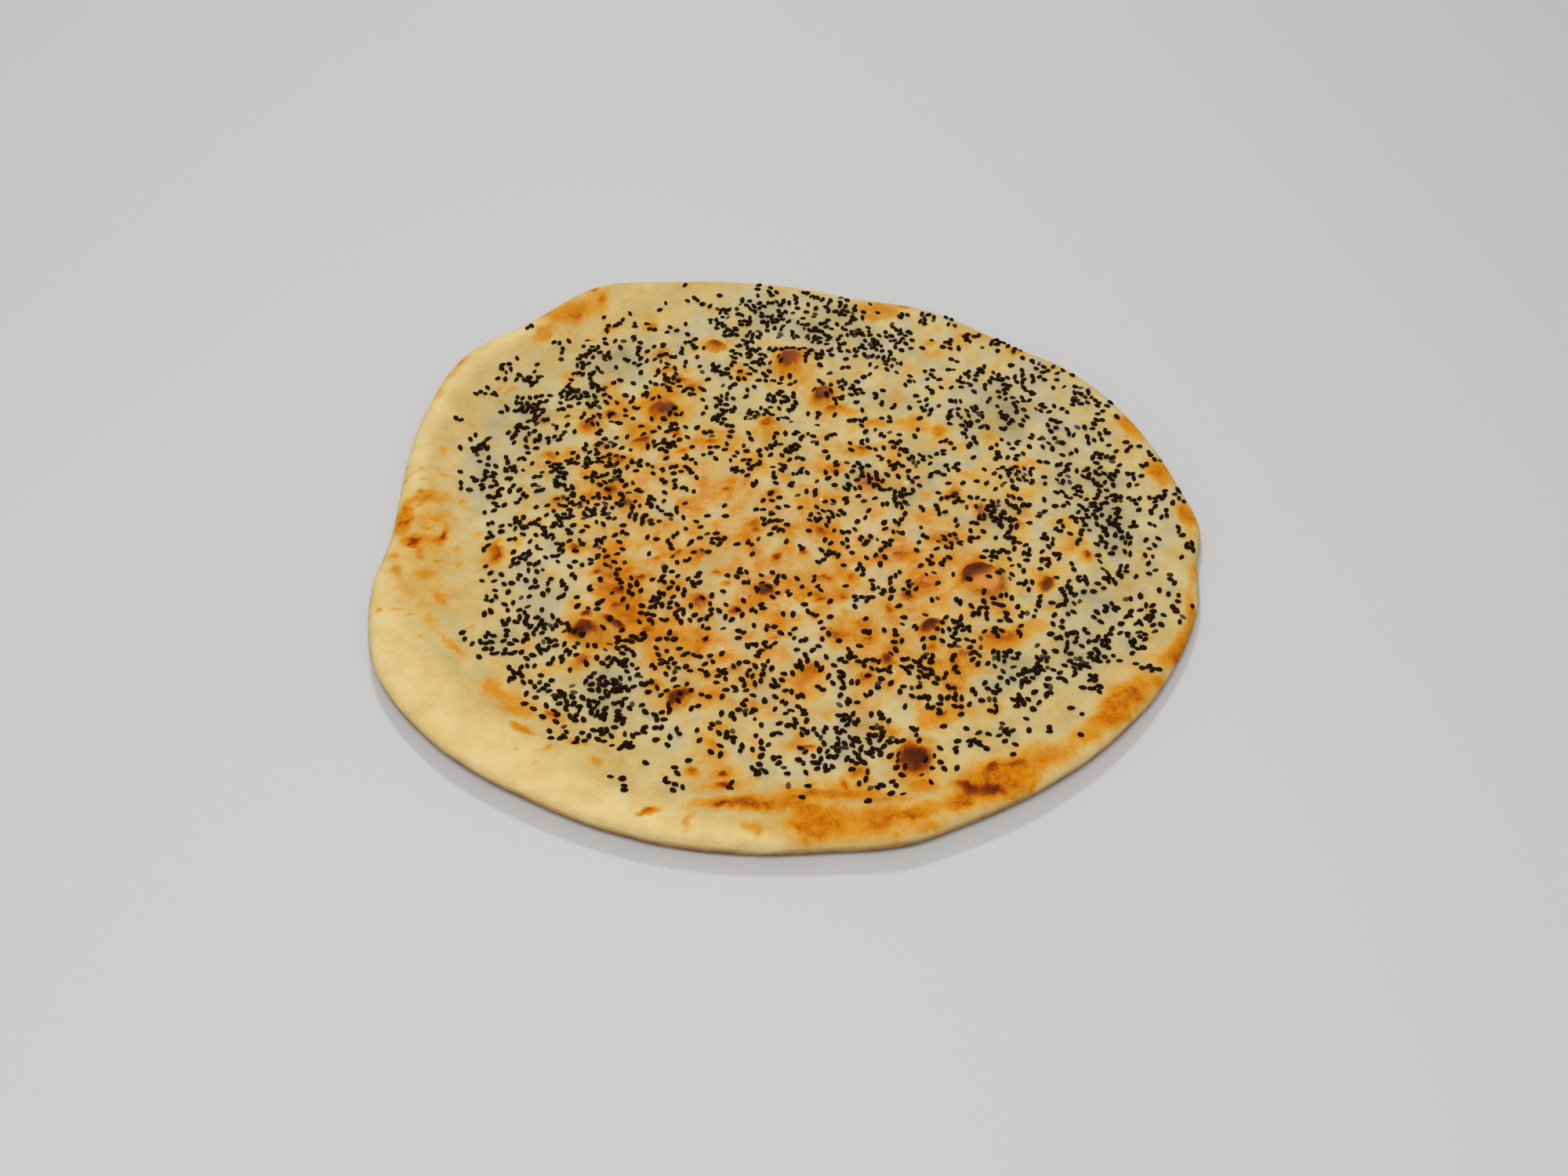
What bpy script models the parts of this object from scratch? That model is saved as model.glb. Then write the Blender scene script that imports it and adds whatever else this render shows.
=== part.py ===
"""Onion seed naan: a hand-stretched flatbread with a puffed rim, blisters, hollows and black seeds.

Metres, +Z up. The origin is under the middle of the bread, on the face that it rests on, and
+X runs along its longer side. The bread and the seeds baked into it are one solid.
"""

import math

import bmesh
import bpy
import numpy as np
from mathutils import Matrix, Vector
from mathutils.bvhtree import BVHTree

# How far the edge reaches from the middle, by bearing in degrees anticlockwise from +X.
EDGE_REACH = (
    (0, 0.1651), (9, 0.1611), (28, 0.1555), (38, 0.1514), (48, 0.1451), (65, 0.1458),
    (79, 0.1437), (86, 0.1468), (98, 0.1528), (110, 0.1610), (121, 0.1713), (134, 0.1695),
    (145, 0.1752), (156, 0.1707), (167, 0.1648), (177, 0.1612), (184, 0.1624), (191, 0.1681),
    (205, 0.1737), (218, 0.1696), (235, 0.1607), (258, 0.1541), (274, 0.1519), (285, 0.1540),
    (293, 0.1533), (306, 0.1546), (328, 0.1598), (345, 0.1635), (353, 0.1624),
)

# The puffed rim: how wide and how thick it is, by bearing.
RIM_WIDTH = ((0, 0.022), (60, 0.020), (100, 0.022), (125, 0.032), (180, 0.034),
             (215, 0.044), (245, 0.038), (275, 0.030), (300, 0.034), (325, 0.030))
RIM_THICKNESS = ((0, 0.0065), (60, 0.0060), (100, 0.0064), (125, 0.0074), (180, 0.0076),
                 (215, 0.0082), (245, 0.0084), (275, 0.0088), (300, 0.0084), (325, 0.0076))
# Where the edge curls up off the surface, and how far in from the edge the curl begins.
EDGE_CURL = ((0, 0.0006), (35, 0.0022), (80, 0.0008), (140, 0.0016), (180, 0.0004),
             (222, 0.0020), (262, 0.0006), (305, 0.0016), (335, 0.0002))
CURL_WIDTH = 0.036

MIDDLE_THICKNESS = 0.0056
EDGE_ROUND = 0.0046  # how far in from the edge the round of the edge runs
UNDERSIDE_ROUND = 0.0050
BELLY = 0.40  # height of the widest part of the edge, as a share of the thickness there

# Broad swells of the baked dough: wavelength and height of each set of waves.
SWELLS = ((0.058, 0.0006), (0.027, 0.0005))
SWELL_SEED = 11
WAVES_IN_A_SWELL = 20

# Blisters and hollows: x, y, radius and height. A hollow's height is negative.
BLISTERS = (
    (0.075, -0.029, 0.014, 0.0042), (-0.078, -0.052, 0.011, 0.0030),
    (0.043, -0.112, 0.012, 0.0034), (-0.054, 0.066, 0.013, 0.0024),
    (0.000, 0.097, 0.012, 0.0026), (0.014, 0.076, 0.010, 0.0024),
    (-0.041, -0.086, 0.011, 0.0026), (0.054, -0.052, 0.011, 0.0024),
    (-0.085, 0.056, 0.013, 0.0016), (-0.063, 0.047, 0.013, 0.0018),
    (-0.070, -0.029, 0.020, 0.0018), (0.081, -0.058, 0.016, 0.0014),
    (0.045, -0.037, 0.010, 0.0016), (0.116, -0.016, 0.010, 0.0014),
    (-0.012, 0.056, 0.013, 0.0016), (0.070, -0.121, 0.022, 0.0012),
)
HOLLOWS = (
    (-0.074, 0.102, 0.014, -0.0012), (0.091, 0.066, 0.022, -0.0014),
    (0.043, 0.078, 0.012, -0.0010), (0.026, -0.096, 0.014, -0.0013),
    (0.100, -0.031, 0.014, -0.0013), (0.110, -0.060, 0.016, -0.0014),
    (-0.103, -0.054, 0.022, -0.0013), (-0.066, -0.090, 0.018, -0.0012),
    (0.018, -0.015, 0.016, -0.0010), (0.049, 0.022, 0.017, -0.0012),
    (-0.029, 0.069, 0.015, -0.0011), (-0.109, 0.040, 0.024, -0.0012),
    (0.000, -0.075, 0.016, -0.0011), (0.079, -0.079, 0.017, -0.0012),
    (0.127, 0.027, 0.018, -0.0012), (0.004, 0.124, 0.022, -0.0010),
)

# The mesh: cells across the top, and the loops that carry the section round the edge.
CELLS_ACROSS = 44
TOP_BORDER_INSET = 0.0038
SIDE_LOOPS = (  # inset from the edge, and whether the loop is on the upper side
    (0.0011, True), (0.0, True), (0.0014, False), (UNDERSIDE_ROUND, False), (CURL_WIDTH, False),
)

# The seeds: a pointed grain, and the part of the top that they cover.
SEED_LENGTH = 0.0030
SEED_WIDTH = 0.0019
SEED_DEPTH = 0.0013
SEED_SIDES = 5
SEED_STATIONS = ((-0.55, 0.74), (0.05, 1.0), (0.62, 0.66))  # along the grain, share of its girth
SEED_COUNT = 130
SEED_SINK = 0.00012  # how far the grain's middle lies above the crust
SEED_SCATTER = 0.0028
SEED_DRAW = 5
# How wide the rim is that has no seeds, by bearing.
BARE_RIM = ((0, 0.006), (40, 0.006), (80, 0.006), (105, 0.010), (118, 0.034), (135, 0.040),
            (160, 0.030), (180, 0.034), (205, 0.050), (225, 0.052), (248, 0.036), (270, 0.024),
            (295, 0.026), (310, 0.034), (330, 0.022), (345, 0.009))
GOLDEN_ANGLE = math.pi * (3 - math.sqrt(5))

CRUST_COLOUR = (0.71, 0.48, 0.19, 1.0)
CRUST_ROUGHNESS = 0.6
RAY_HEIGHT = 0.05


def around(table, bearing):
    """The value of a table of (degrees, value) at bearings in radians: a smooth closed curve."""
    knots = np.radians([row[0] for row in table])
    values = np.array([row[1] for row in table])
    turn = 2 * math.pi
    knots = np.concatenate([knots[-2:] - turn, knots, knots[:2] + turn])
    values = np.concatenate([values[-2:], values, values[:2]])
    slopes = (values[2:] - values[:-2]) / (knots[2:] - knots[:-2])
    knots, values = knots[1:-1], values[1:-1]
    bearing = np.mod(bearing, turn)
    left = np.searchsorted(knots, bearing, side="right") - 1
    span = knots[left + 1] - knots[left]
    t = (bearing - knots[left]) / span
    return (
        (2 * t**3 - 3 * t**2 + 1) * values[left]
        + (t**3 - 2 * t**2 + t) * span * slopes[left]
        + (3 * t**2 - 2 * t**3) * values[left + 1]
        + (t**3 - t**2) * span * slopes[left + 1]
    )


def ease(t):
    """0 to 1, level at both ends."""
    t = np.clip(t, 0.0, 1.0)
    return t * t * (3 - 2 * t)


def swell(x, y, wavelength, draw):
    """Smooth hills and dips of about 1, by adding waves that run in all directions."""
    rng = np.random.default_rng(draw)
    total = np.zeros_like(x)
    for _ in range(WAVES_IN_A_SWELL):
        heading = rng.uniform(0, 2 * math.pi)
        number = 2 * math.pi / (wavelength * rng.uniform(0.75, 1.35))
        phase = rng.uniform(0, 2 * math.pi)
        total += np.cos(number * (x * math.cos(heading) + y * math.sin(heading)) + phase)
    return total * math.sqrt(2 / WAVES_IN_A_SWELL)


def domes(x, y, places):
    """The sum of round bumps, each level at its top and at its foot."""
    total = np.zeros_like(x)
    for px, py, radius, height in places:
        share = ((x - px) ** 2 + (y - py) ** 2) / radius**2
        total += height * np.clip(1 - share, 0, None) ** 2
    return total


def thickness(bearing, inset):
    """Thickness of the dough, from the puffed rim down to the thinner middle."""
    width = around(RIM_WIDTH, bearing)
    puff = 1 - ease((inset / width - 0.35) / 0.65)
    return MIDDLE_THICKNESS + (around(RIM_THICKNESS, bearing) - MIDDLE_THICKNESS) * puff


def curl(bearing, inset):
    """How far the edge lies above the surface that the bread rests on."""
    return around(EDGE_CURL, bearing) * (1 - ease(inset / CURL_WIDTH))


def top_height(x, y):
    """Height of the upper side."""
    bearing = np.arctan2(y, x)
    inset = np.clip(around(EDGE_REACH, bearing) - np.hypot(x, y), 0, None)
    away = np.clip(1 - inset / EDGE_ROUND, 0, 1)
    rise = BELLY + (1 - BELLY) * np.sqrt(1 - away**2)
    relief = domes(x, y, BLISTERS) + domes(x, y, HOLLOWS)
    for number, (wavelength, height) in enumerate(SWELLS):
        relief += height * swell(x, y, wavelength, SWELL_SEED + number)
    return rise * thickness(bearing, inset) + relief * ease(inset / 0.02) + curl(bearing, inset)


def under_height(x, y):
    """Height of the underside: round at the edge, then level."""
    bearing = np.arctan2(y, x)
    inset = np.clip(around(EDGE_REACH, bearing) - np.hypot(x, y), 0, None)
    away = np.clip(1 - inset / UNDERSIDE_ROUND, 0, 1)
    rise = BELLY * (1 - np.sqrt(1 - away**2))
    return rise * thickness(bearing, inset) + curl(bearing, inset)


def disc_point(u, v):
    """A point of the square from -1 to 1 moved onto the disc, as bearing and share of the reach."""
    if u == 0 and v == 0:
        return 0.0, 0.0
    if abs(u) >= abs(v):
        return math.pi / 4 * v / u + (math.pi if u < 0 else 0), abs(u)
    return math.pi / 2 - math.pi / 4 * u / v + (math.pi if v < 0 else 0), abs(v)


def border_loop():
    """The grid's border cells in order, anticlockwise from the corner at -X -Y."""
    last = CELLS_ACROSS
    loop = [(i, 0) for i in range(last)]
    loop += [(last, j) for j in range(last)]
    loop += [(i, last) for i in range(last, 0, -1)]
    return loop + [(0, j) for j in range(last, 0, -1)]


def dough():
    """The bread without its seeds, as one closed mesh."""
    bm = bmesh.new()
    grid = {}
    for i in range(CELLS_ACROSS + 1):
        for j in range(CELLS_ACROSS + 1):
            bearing, share = disc_point(2 * i / CELLS_ACROSS - 1, 2 * j / CELLS_ACROSS - 1)
            reach = share * (float(around(EDGE_REACH, bearing)) - TOP_BORDER_INSET)
            x, y = reach * math.cos(bearing), reach * math.sin(bearing)
            grid[i, j] = bm.verts.new((x, y, float(top_height(np.array(x), np.array(y)))))
    for i in range(CELLS_ACROSS):
        for j in range(CELLS_ACROSS):
            bm.faces.new((grid[i, j], grid[i + 1, j], grid[i + 1, j + 1], grid[i, j + 1]))
    upper = [grid[cell] for cell in border_loop()]
    for inset, is_top in SIDE_LOOPS:
        lower = []
        for vert in upper:
            bearing = math.atan2(vert.co.y, vert.co.x)
            reach = float(around(EDGE_REACH, bearing)) - inset
            x, y = reach * math.cos(bearing), reach * math.sin(bearing)
            height = top_height if is_top else under_height
            lower.append(bm.verts.new((x, y, float(height(np.array(x), np.array(y))))))
        for k, vert in enumerate(upper):
            after = (k + 1) % len(upper)
            bm.faces.new((vert, lower[k], lower[after], upper[after]))
        upper = lower
    bm.faces.new(reversed(upper))
    bmesh.ops.recalc_face_normals(bm, faces=bm.faces)
    return bm


def grain_mesh():
    """One seed: a drop with few sides, lying along X."""
    bm = bmesh.new()
    tail = bm.verts.new((-SEED_LENGTH / 2, 0, 0))
    tip = bm.verts.new((SEED_LENGTH / 2, 0, 0))
    rings = []
    for along, girth in SEED_STATIONS:
        ring = []
        for k in range(SEED_SIDES):
            angle = 2 * math.pi * k / SEED_SIDES + math.pi / 2
            ring.append(bm.verts.new((
                along * SEED_LENGTH / 2,
                girth * SEED_WIDTH / 2 * math.cos(angle),
                girth * SEED_DEPTH / 2 * math.sin(angle),
            )))
        rings.append(ring)
    for k in range(SEED_SIDES):
        after = (k + 1) % SEED_SIDES
        bm.faces.new((tail, rings[0][k], rings[0][after]))
        for first, second in zip(rings, rings[1:]):
            bm.faces.new((first[k], second[k], second[after], first[after]))
        bm.faces.new((rings[-1][k], tip, rings[-1][after]))
    bmesh.ops.recalc_face_normals(bm, faces=bm.faces)
    mesh = bpy.data.meshes.new("grain")
    bm.to_mesh(mesh)
    bm.free()
    return mesh


def seed_places():
    """Where the seeds lie: a sunflower spiral over the seeded part of the top, a little uneven."""
    rng = np.random.default_rng(SEED_DRAW)
    for number in range(SEED_COUNT):
        bearing = number * GOLDEN_ANGLE
        seeded = float(around(EDGE_REACH, bearing)) - float(around(BARE_RIM, bearing))
        reach = seeded * math.sqrt((number + 0.5) / SEED_COUNT)
        dx, dy = rng.uniform(-SEED_SCATTER, SEED_SCATTER, 2)
        yield reach * math.cos(bearing) + dx, reach * math.sin(bearing) + dy, rng.uniform(0, 2 * math.pi)


def lay_seeds(surface, collection):
    """Puts one seed at each place, flat on the crust and partly sunk in it."""
    mesh = grain_mesh()
    for number, (x, y, turn) in enumerate(seed_places()):
        place, normal, _, _ = surface.ray_cast(Vector((x, y, RAY_HEIGHT)), Vector((0, 0, -1)))
        seed = bpy.data.objects.new(f"seed_{number}", mesh)
        tilt = normal.to_track_quat("Z", "Y").to_matrix().to_4x4()
        seed.matrix_world = (
            Matrix.Translation(place + normal * SEED_SINK) @ tilt @ Matrix.Rotation(turn, 4, "Z")
        )
        collection.objects.link(seed)


def crust_material():
    """Pale golden baked dough."""
    material = bpy.data.materials.new("crust")
    material.use_nodes = True
    shader = material.node_tree.nodes["Principled BSDF"]
    shader.inputs["Base Color"].default_value = CRUST_COLOUR
    shader.inputs["Roughness"].default_value = CRUST_ROUGHNESS
    shader.inputs["Metallic"].default_value = 0.0
    return material


def clear_scene():
    """Empties the scene."""
    for obj in list(bpy.data.objects):
        bpy.data.objects.remove(obj, do_unlink=True)


def build_naan():
    """The bread with its seeds joined to it by one union."""
    bm = dough()
    surface = BVHTree.FromBMesh(bm)
    mesh = bpy.data.meshes.new("naan")
    bm.to_mesh(mesh)
    bm.free()
    naan = bpy.data.objects.new("naan", mesh)
    bpy.context.scene.collection.objects.link(naan)
    mesh.materials.append(crust_material())

    seeds = bpy.data.collections.new("seeds")
    bpy.context.scene.collection.children.link(seeds)
    lay_seeds(surface, seeds)
    union = naan.modifiers.new("seeds_baked_in", "BOOLEAN")
    union.operation = "UNION"
    union.operand_type = "COLLECTION"
    union.collection = seeds
    union.solver = "EXACT"
    bpy.context.view_layer.update()
    bpy.context.view_layer.objects.active = naan
    bpy.ops.object.modifier_apply(modifier=union.name)
    for seed in list(seeds.objects):
        bpy.data.objects.remove(seed, do_unlink=True)
    bpy.data.collections.remove(seeds)
    mesh.shade_smooth()
    mesh.set_sharp_from_angle(angle=math.radians(35))


clear_scene()
build_naan()
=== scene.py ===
"""Studio scene of an onion seed naan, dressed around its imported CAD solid.

The bread is one fine mesh with relief, toasting and oil laid out on it by named places, and its
seeds are one joined mesh of true grains. Lengths in the tables are millimetres, lengths of noise
are metres, and the scene is in metres with +Z up.
"""

import logging
import math
from dataclasses import dataclass
from enum import Enum

import bpy
import numpy as np
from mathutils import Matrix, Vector


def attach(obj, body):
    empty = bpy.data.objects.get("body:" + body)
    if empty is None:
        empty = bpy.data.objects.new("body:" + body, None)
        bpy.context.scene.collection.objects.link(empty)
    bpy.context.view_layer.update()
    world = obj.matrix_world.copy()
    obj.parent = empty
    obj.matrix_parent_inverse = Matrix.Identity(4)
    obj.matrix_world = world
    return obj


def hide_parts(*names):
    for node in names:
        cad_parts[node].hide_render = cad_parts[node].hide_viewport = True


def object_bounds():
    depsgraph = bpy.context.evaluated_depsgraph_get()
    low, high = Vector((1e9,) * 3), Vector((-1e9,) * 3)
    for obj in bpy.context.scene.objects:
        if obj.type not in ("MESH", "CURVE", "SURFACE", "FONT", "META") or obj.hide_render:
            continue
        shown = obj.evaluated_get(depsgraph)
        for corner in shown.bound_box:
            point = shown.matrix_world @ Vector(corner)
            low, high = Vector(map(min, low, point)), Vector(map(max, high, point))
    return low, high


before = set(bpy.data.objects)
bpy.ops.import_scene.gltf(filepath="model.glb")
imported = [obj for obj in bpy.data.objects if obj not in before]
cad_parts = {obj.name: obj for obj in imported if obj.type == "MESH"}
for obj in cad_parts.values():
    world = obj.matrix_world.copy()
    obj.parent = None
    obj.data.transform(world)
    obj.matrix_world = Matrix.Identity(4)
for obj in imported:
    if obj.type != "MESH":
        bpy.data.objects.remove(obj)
cad_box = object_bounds()

log = logging.getLogger("naan")
Array = np.ndarray
MM = 0.001
TURN = 2 * math.pi
WHITE = (1.0, 1.0, 1.0, 1.0)


class Side(Enum):
    """Which side of the bread a loop of points belongs to."""

    TOP = "top"
    UNDER = "under"


def srgb(red: int, green: int, blue: int) -> tuple[float, float, float, float]:
    """Turn a colour as it looks on a screen into the linear colour that shaders use.

    Args:
        red: Red from 0 to 255.
        green: Green from 0 to 255.
        blue: Blue from 0 to 255.

    Returns:
        Linear red, green and blue, with an alpha of 1.
    """
    linear = []
    for value in (red, green, blue):
        share = value / 255
        linear.append(share / 12.92 if share <= 0.04045 else ((share + 0.055) / 1.055) ** 2.4)
    return (*linear, 1.0)


def ease(t: Array) -> Array:
    """Go from 0 to 1, level at both ends."""
    t = np.clip(t, 0.0, 1.0)
    return t * t * (3 - 2 * t)


def around(table: tuple, bearing: Array) -> Array:
    """Read a table of (degrees, value) as a smooth closed curve.

    Args:
        table: Pairs of a bearing in degrees, anticlockwise from +X, and a value.
        bearing: Bearings in radians.

    Returns:
        The value at each bearing.
    """
    knots = np.radians([row[0] for row in table])
    values = np.array([row[1] for row in table], float)
    knots = np.concatenate([knots[-2:] - TURN, knots, knots[:2] + TURN])
    values = np.concatenate([values[-2:], values, values[:2]])
    slopes = (values[2:] - values[:-2]) / (knots[2:] - knots[:-2])
    knots, values = knots[1:-1], values[1:-1]
    bearing = np.mod(bearing, TURN)
    left = np.clip(np.searchsorted(knots, bearing, side="right") - 1, 0, len(knots) - 2)
    span = knots[left + 1] - knots[left]
    t = (bearing - knots[left]) / span
    return (
        (2 * t**3 - 3 * t**2 + 1) * values[left]
        + (t**3 - 2 * t**2 + t) * span * slopes[left]
        + (3 * t**2 - 2 * t**3) * values[left + 1]
        + (t**3 - t**2) * span * slopes[left + 1]
    )


def swell(x: Array, y: Array, wavelength: float, draw: int) -> Array:
    """Add waves that run in all directions into smooth hills and dips.

    Args:
        x: Points along X, in metres.
        y: Points along Y, in metres.
        wavelength: The usual length of a wave, in metres.
        draw: The number that starts the random draw.

    Returns:
        A height of about 1 for each point.
    """
    waves = 20
    shortest, longest = 0.75, 1.35
    rng = np.random.default_rng(draw)
    total = np.zeros_like(x)
    for _ in range(waves):
        heading = rng.uniform(0, TURN)
        number = TURN / (wavelength * rng.uniform(shortest, longest))
        phase = rng.uniform(0, TURN)
        total += np.cos(number * (x * math.cos(heading) + y * math.sin(heading)) + phase)
    return total * math.sqrt(2 / waves)


def grain_noise(x: Array, y: Array, cell: float, draw: int, stretch: float = 1.0) -> Array:
    """Make gradient noise on a square lattice.

    Args:
        x: Points along X, in metres.
        y: Points along Y, in metres.
        cell: The lattice's spacing, in metres.
        draw: The number that starts the random draw.
        stretch: How many times longer the blotches are along X.

    Returns:
        Noise from about -1 to 1 for each point.
    """
    lattice_reach = 0.26
    size = int(2 * lattice_reach / cell) + 4
    angles = np.random.default_rng(draw).uniform(0, TURN, (size, size))
    along = x / (cell * stretch) + size / 2
    across = y / cell + size / 2
    i, j = np.floor(along).astype(int), np.floor(across).astype(int)
    u, v = along - i, across - j
    i, j = np.clip(i, 0, size - 2), np.clip(j, 0, size - 2)
    fade_u = u**3 * (u * (u * 6 - 15) + 10)
    fade_v = v**3 * (v * (v * 6 - 15) + 10)

    def corner(di: int, dj: int) -> Array:
        """Slope of one lattice corner, at the points."""
        angle = angles[i + di, j + dj]
        return np.cos(angle) * (u - di) + np.sin(angle) * (v - dj)

    low = corner(0, 0) * (1 - fade_u) + corner(1, 0) * fade_u
    high = corner(0, 1) * (1 - fade_u) + corner(1, 1) * fade_u
    return 1.5 * (low * (1 - fade_v) + high * fade_v)


def layered(x: Array, y: Array, layers: tuple) -> Array:
    """Add layers of noise, each a row of strength, cell, draw and, where it has one, stretch."""
    return sum(strength * grain_noise(x, y, *layer) for strength, *layer in layers)


def out_from(x: Array, y: Array, place: tuple, radius: float) -> Array:
    """How far points lie from a place, as a share of a radius, both in millimetres."""
    return np.hypot(x - place[0] * MM, y - place[1] * MM) / (radius * MM)


def spot(x: Array, y: Array, place: tuple, radius: float) -> Array:
    """Fade from 1 at a place to 0 round it, with both the place and the radius in millimetres."""
    px, py = place
    return np.exp(-(((x - px * MM) ** 2 + (y - py * MM) ** 2) / (radius * MM) ** 2))


def patches(x: Array, y: Array, table: tuple, power: float = 1.0) -> Array:
    """Add soft oval patches.

    Args:
        x: Points along X, in metres.
        y: Points along Y, in metres.
        table: Rows of x, y, half length, half width, tilt in degrees and strength, in millimetres.
        power: Above 1 gives flatter patches with a crisper edge.

    Returns:
        The summed strength at each point.
    """
    reach = 3
    total = np.zeros_like(x)
    for px, py, rx, ry, tilt, strength in table:
        turn = math.radians(tilt)
        dx, dy = x - px * MM, y - py * MM
        near = np.hypot(dx, dy) < reach * max(rx, ry) * MM
        along = (dx[near] * math.cos(turn) + dy[near] * math.sin(turn)) / (rx * MM)
        across = (dy[near] * math.cos(turn) - dx[near] * math.sin(turn)) / (ry * MM)
        total[near] += strength * np.exp(-((along**2 + across**2) ** power))
    return total


def nearness(x: Array, y: Array, line: tuple, width: float) -> tuple:
    """Measure how near points are to a line of straight runs.

    Args:
        x: Points along X, in metres.
        y: Points along Y, in metres.
        line: The line's points in millimetres.
        width: The half width over which nearness fades, in millimetres.

    Returns:
        Nearness from 0 to 1, and the signed distance over the width, positive on the line's left.
    """
    end_fade = 0.15
    best = np.full_like(x, np.inf)
    side = np.zeros_like(x)
    along = np.zeros_like(x)
    lengths = [math.dist(a, b) for a, b in zip(line, line[1:])]
    total = sum(lengths)
    done = 0.0
    for (ax, ay), (bx, by), length in zip(line, line[1:], lengths):
        ux, uy = (bx - ax) / length, (by - ay) / length
        dx, dy = x / MM - ax, y / MM - ay
        t = np.clip(dx * ux + dy * uy, 0, length)
        gap = np.hypot(dx - t * ux, dy - t * uy)
        nearer = gap < best
        best = np.where(nearer, gap, best)
        side = np.where(nearer, np.sign(ux * dy - uy * dx), side)
        along = np.where(nearer, (done + t) / total, along)
        done += length
    ends = ease(along / end_fade) * ease((1 - along) / end_fade)
    return np.exp(-((best / width) ** 2)) * ends, side * best / width


@dataclass
class DoughShape:
    """The bread's form: the same outline, rim, curl and swells as its CAD solid."""

    # Each of these is by bearing: degrees anticlockwise from +X, and millimetres.
    edge_reach: tuple = (
        (0, 165.1), (9, 161.1), (28, 155.5), (38, 151.4), (48, 145.1), (65, 145.8), (79, 143.7),
        (86, 146.8), (98, 152.8), (110, 161.0), (121, 171.3), (134, 169.5), (145, 175.2),
        (156, 170.7), (167, 164.8), (177, 161.2), (184, 162.4), (191, 168.1), (205, 173.7),
        (218, 169.6), (235, 160.7), (258, 154.1), (274, 151.9), (285, 154.0), (293, 153.3),
        (306, 154.6), (328, 159.8), (345, 163.5), (353, 162.4),
    )
    rim_width: tuple = (
        (0, 22), (60, 20), (100, 22), (125, 32), (180, 34), (215, 44), (245, 38), (275, 30),
        (300, 34), (325, 30),
    )
    rim_thickness: tuple = (
        (0, 6.5), (60, 6.0), (100, 6.4), (125, 7.4), (180, 7.6), (215, 8.2), (245, 8.4),
        (275, 8.8), (300, 8.4), (325, 7.6),
    )
    edge_curl: tuple = (
        (0, 0.6), (35, 2.2), (80, 0.8), (140, 1.6), (180, 0.4), (222, 2.0), (262, 0.6),
        (305, 1.6), (335, 0.2),
    )
    curl_width: float = 36.0
    middle_thickness: float = 5.6
    # The share of the rim's width that keeps its full thickness.
    full_rim: float = 0.35
    edge_round: float = 4.6
    underside_round: float = 5.0
    # The share of the edge's thickness that lies below its outermost line.
    belly: float = 0.40
    # How far from the edge the relief reaches its full height.
    relief_inset: float = 20.0
    # Wavelength and height of each layer of swells, in metres.
    swells: tuple = ((0.058, 0.0006), (0.027, 0.0005))
    swell_draw: int = 11
    # x, y, radius and height of each broad blister and hollow.
    domes: tuple = (
        (75, -29, 14, 4.2), (-78, -52, 11, 3.0), (43, -112, 12, 3.4), (-54, 66, 13, 2.4),
        (0, 97, 12, 2.6), (14, 76, 10, 2.4), (-41, -86, 11, 2.6), (54, -52, 11, 2.4),
        (-85, 56, 13, 1.6), (-63, 47, 13, 1.8), (-70, -29, 20, 1.8), (81, -58, 16, 1.4),
        (45, -37, 10, 1.6), (116, -16, 10, 1.4), (-12, 56, 13, 1.6), (70, -121, 22, 1.2),
        (-74, 102, 14, -1.2), (91, 66, 22, -1.4), (43, 78, 12, -1.0), (26, -96, 14, -1.3),
        (100, -31, 14, -1.3), (110, -60, 16, -1.4), (-103, -54, 22, -1.3), (-66, -90, 18, -1.2),
        (18, -15, 16, -1.0), (49, 22, 17, -1.2), (-29, 69, 15, -1.1), (-109, 40, 24, -1.2),
        (0, -75, 16, -1.1), (79, -79, 17, -1.2), (127, 27, 18, -1.2), (4, 124, 22, -1.0),
    )

    def reach(self, bearing: Array) -> Array:
        """Distance from the middle to the edge, in metres."""
        return around(self.edge_reach, bearing) * MM

    def inset(self, x: Array, y: Array) -> Array:
        """How far points lie inside the edge, in metres."""
        return np.clip(self.reach(np.arctan2(y, x)) - np.hypot(x, y), 0, None)

    def thickness(self, bearing: Array, inset: Array) -> Array:
        """Thickness of the dough, from the puffed rim down to the thinner middle.

        Args:
            bearing: The points' bearings from the middle, in radians.
            inset: How far they lie inside the edge, in metres.

        Returns:
            The thickness at each point, in metres.
        """
        width = around(self.rim_width, bearing) * MM
        puff = 1 - ease((inset / width - self.full_rim) / (1 - self.full_rim))
        rim = around(self.rim_thickness, bearing)
        return (self.middle_thickness + (rim - self.middle_thickness) * puff) * MM

    def curl(self, bearing: Array, inset: Array) -> Array:
        """How far the edge lies above the surface that the bread rests on."""
        return around(self.edge_curl, bearing) * MM * (1 - ease(inset / (self.curl_width * MM)))

    def relief(self, x: Array, y: Array) -> Array:
        """Work out the broad blisters, hollows and swells.

        Args:
            x: Points along X, in metres.
            y: Points along Y, in metres.

        Returns:
            The height that they add, in metres.
        """
        total = np.zeros_like(x)
        for px, py, radius, height in self.domes:
            share = ((x - px * MM) ** 2 + (y - py * MM) ** 2) / (radius * MM) ** 2
            total += height * MM * np.clip(1 - share, 0, None) ** 2
        for number, (wavelength, height) in enumerate(self.swells):
            total += height * swell(x, y, wavelength, self.swell_draw + number)
        return total

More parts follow.
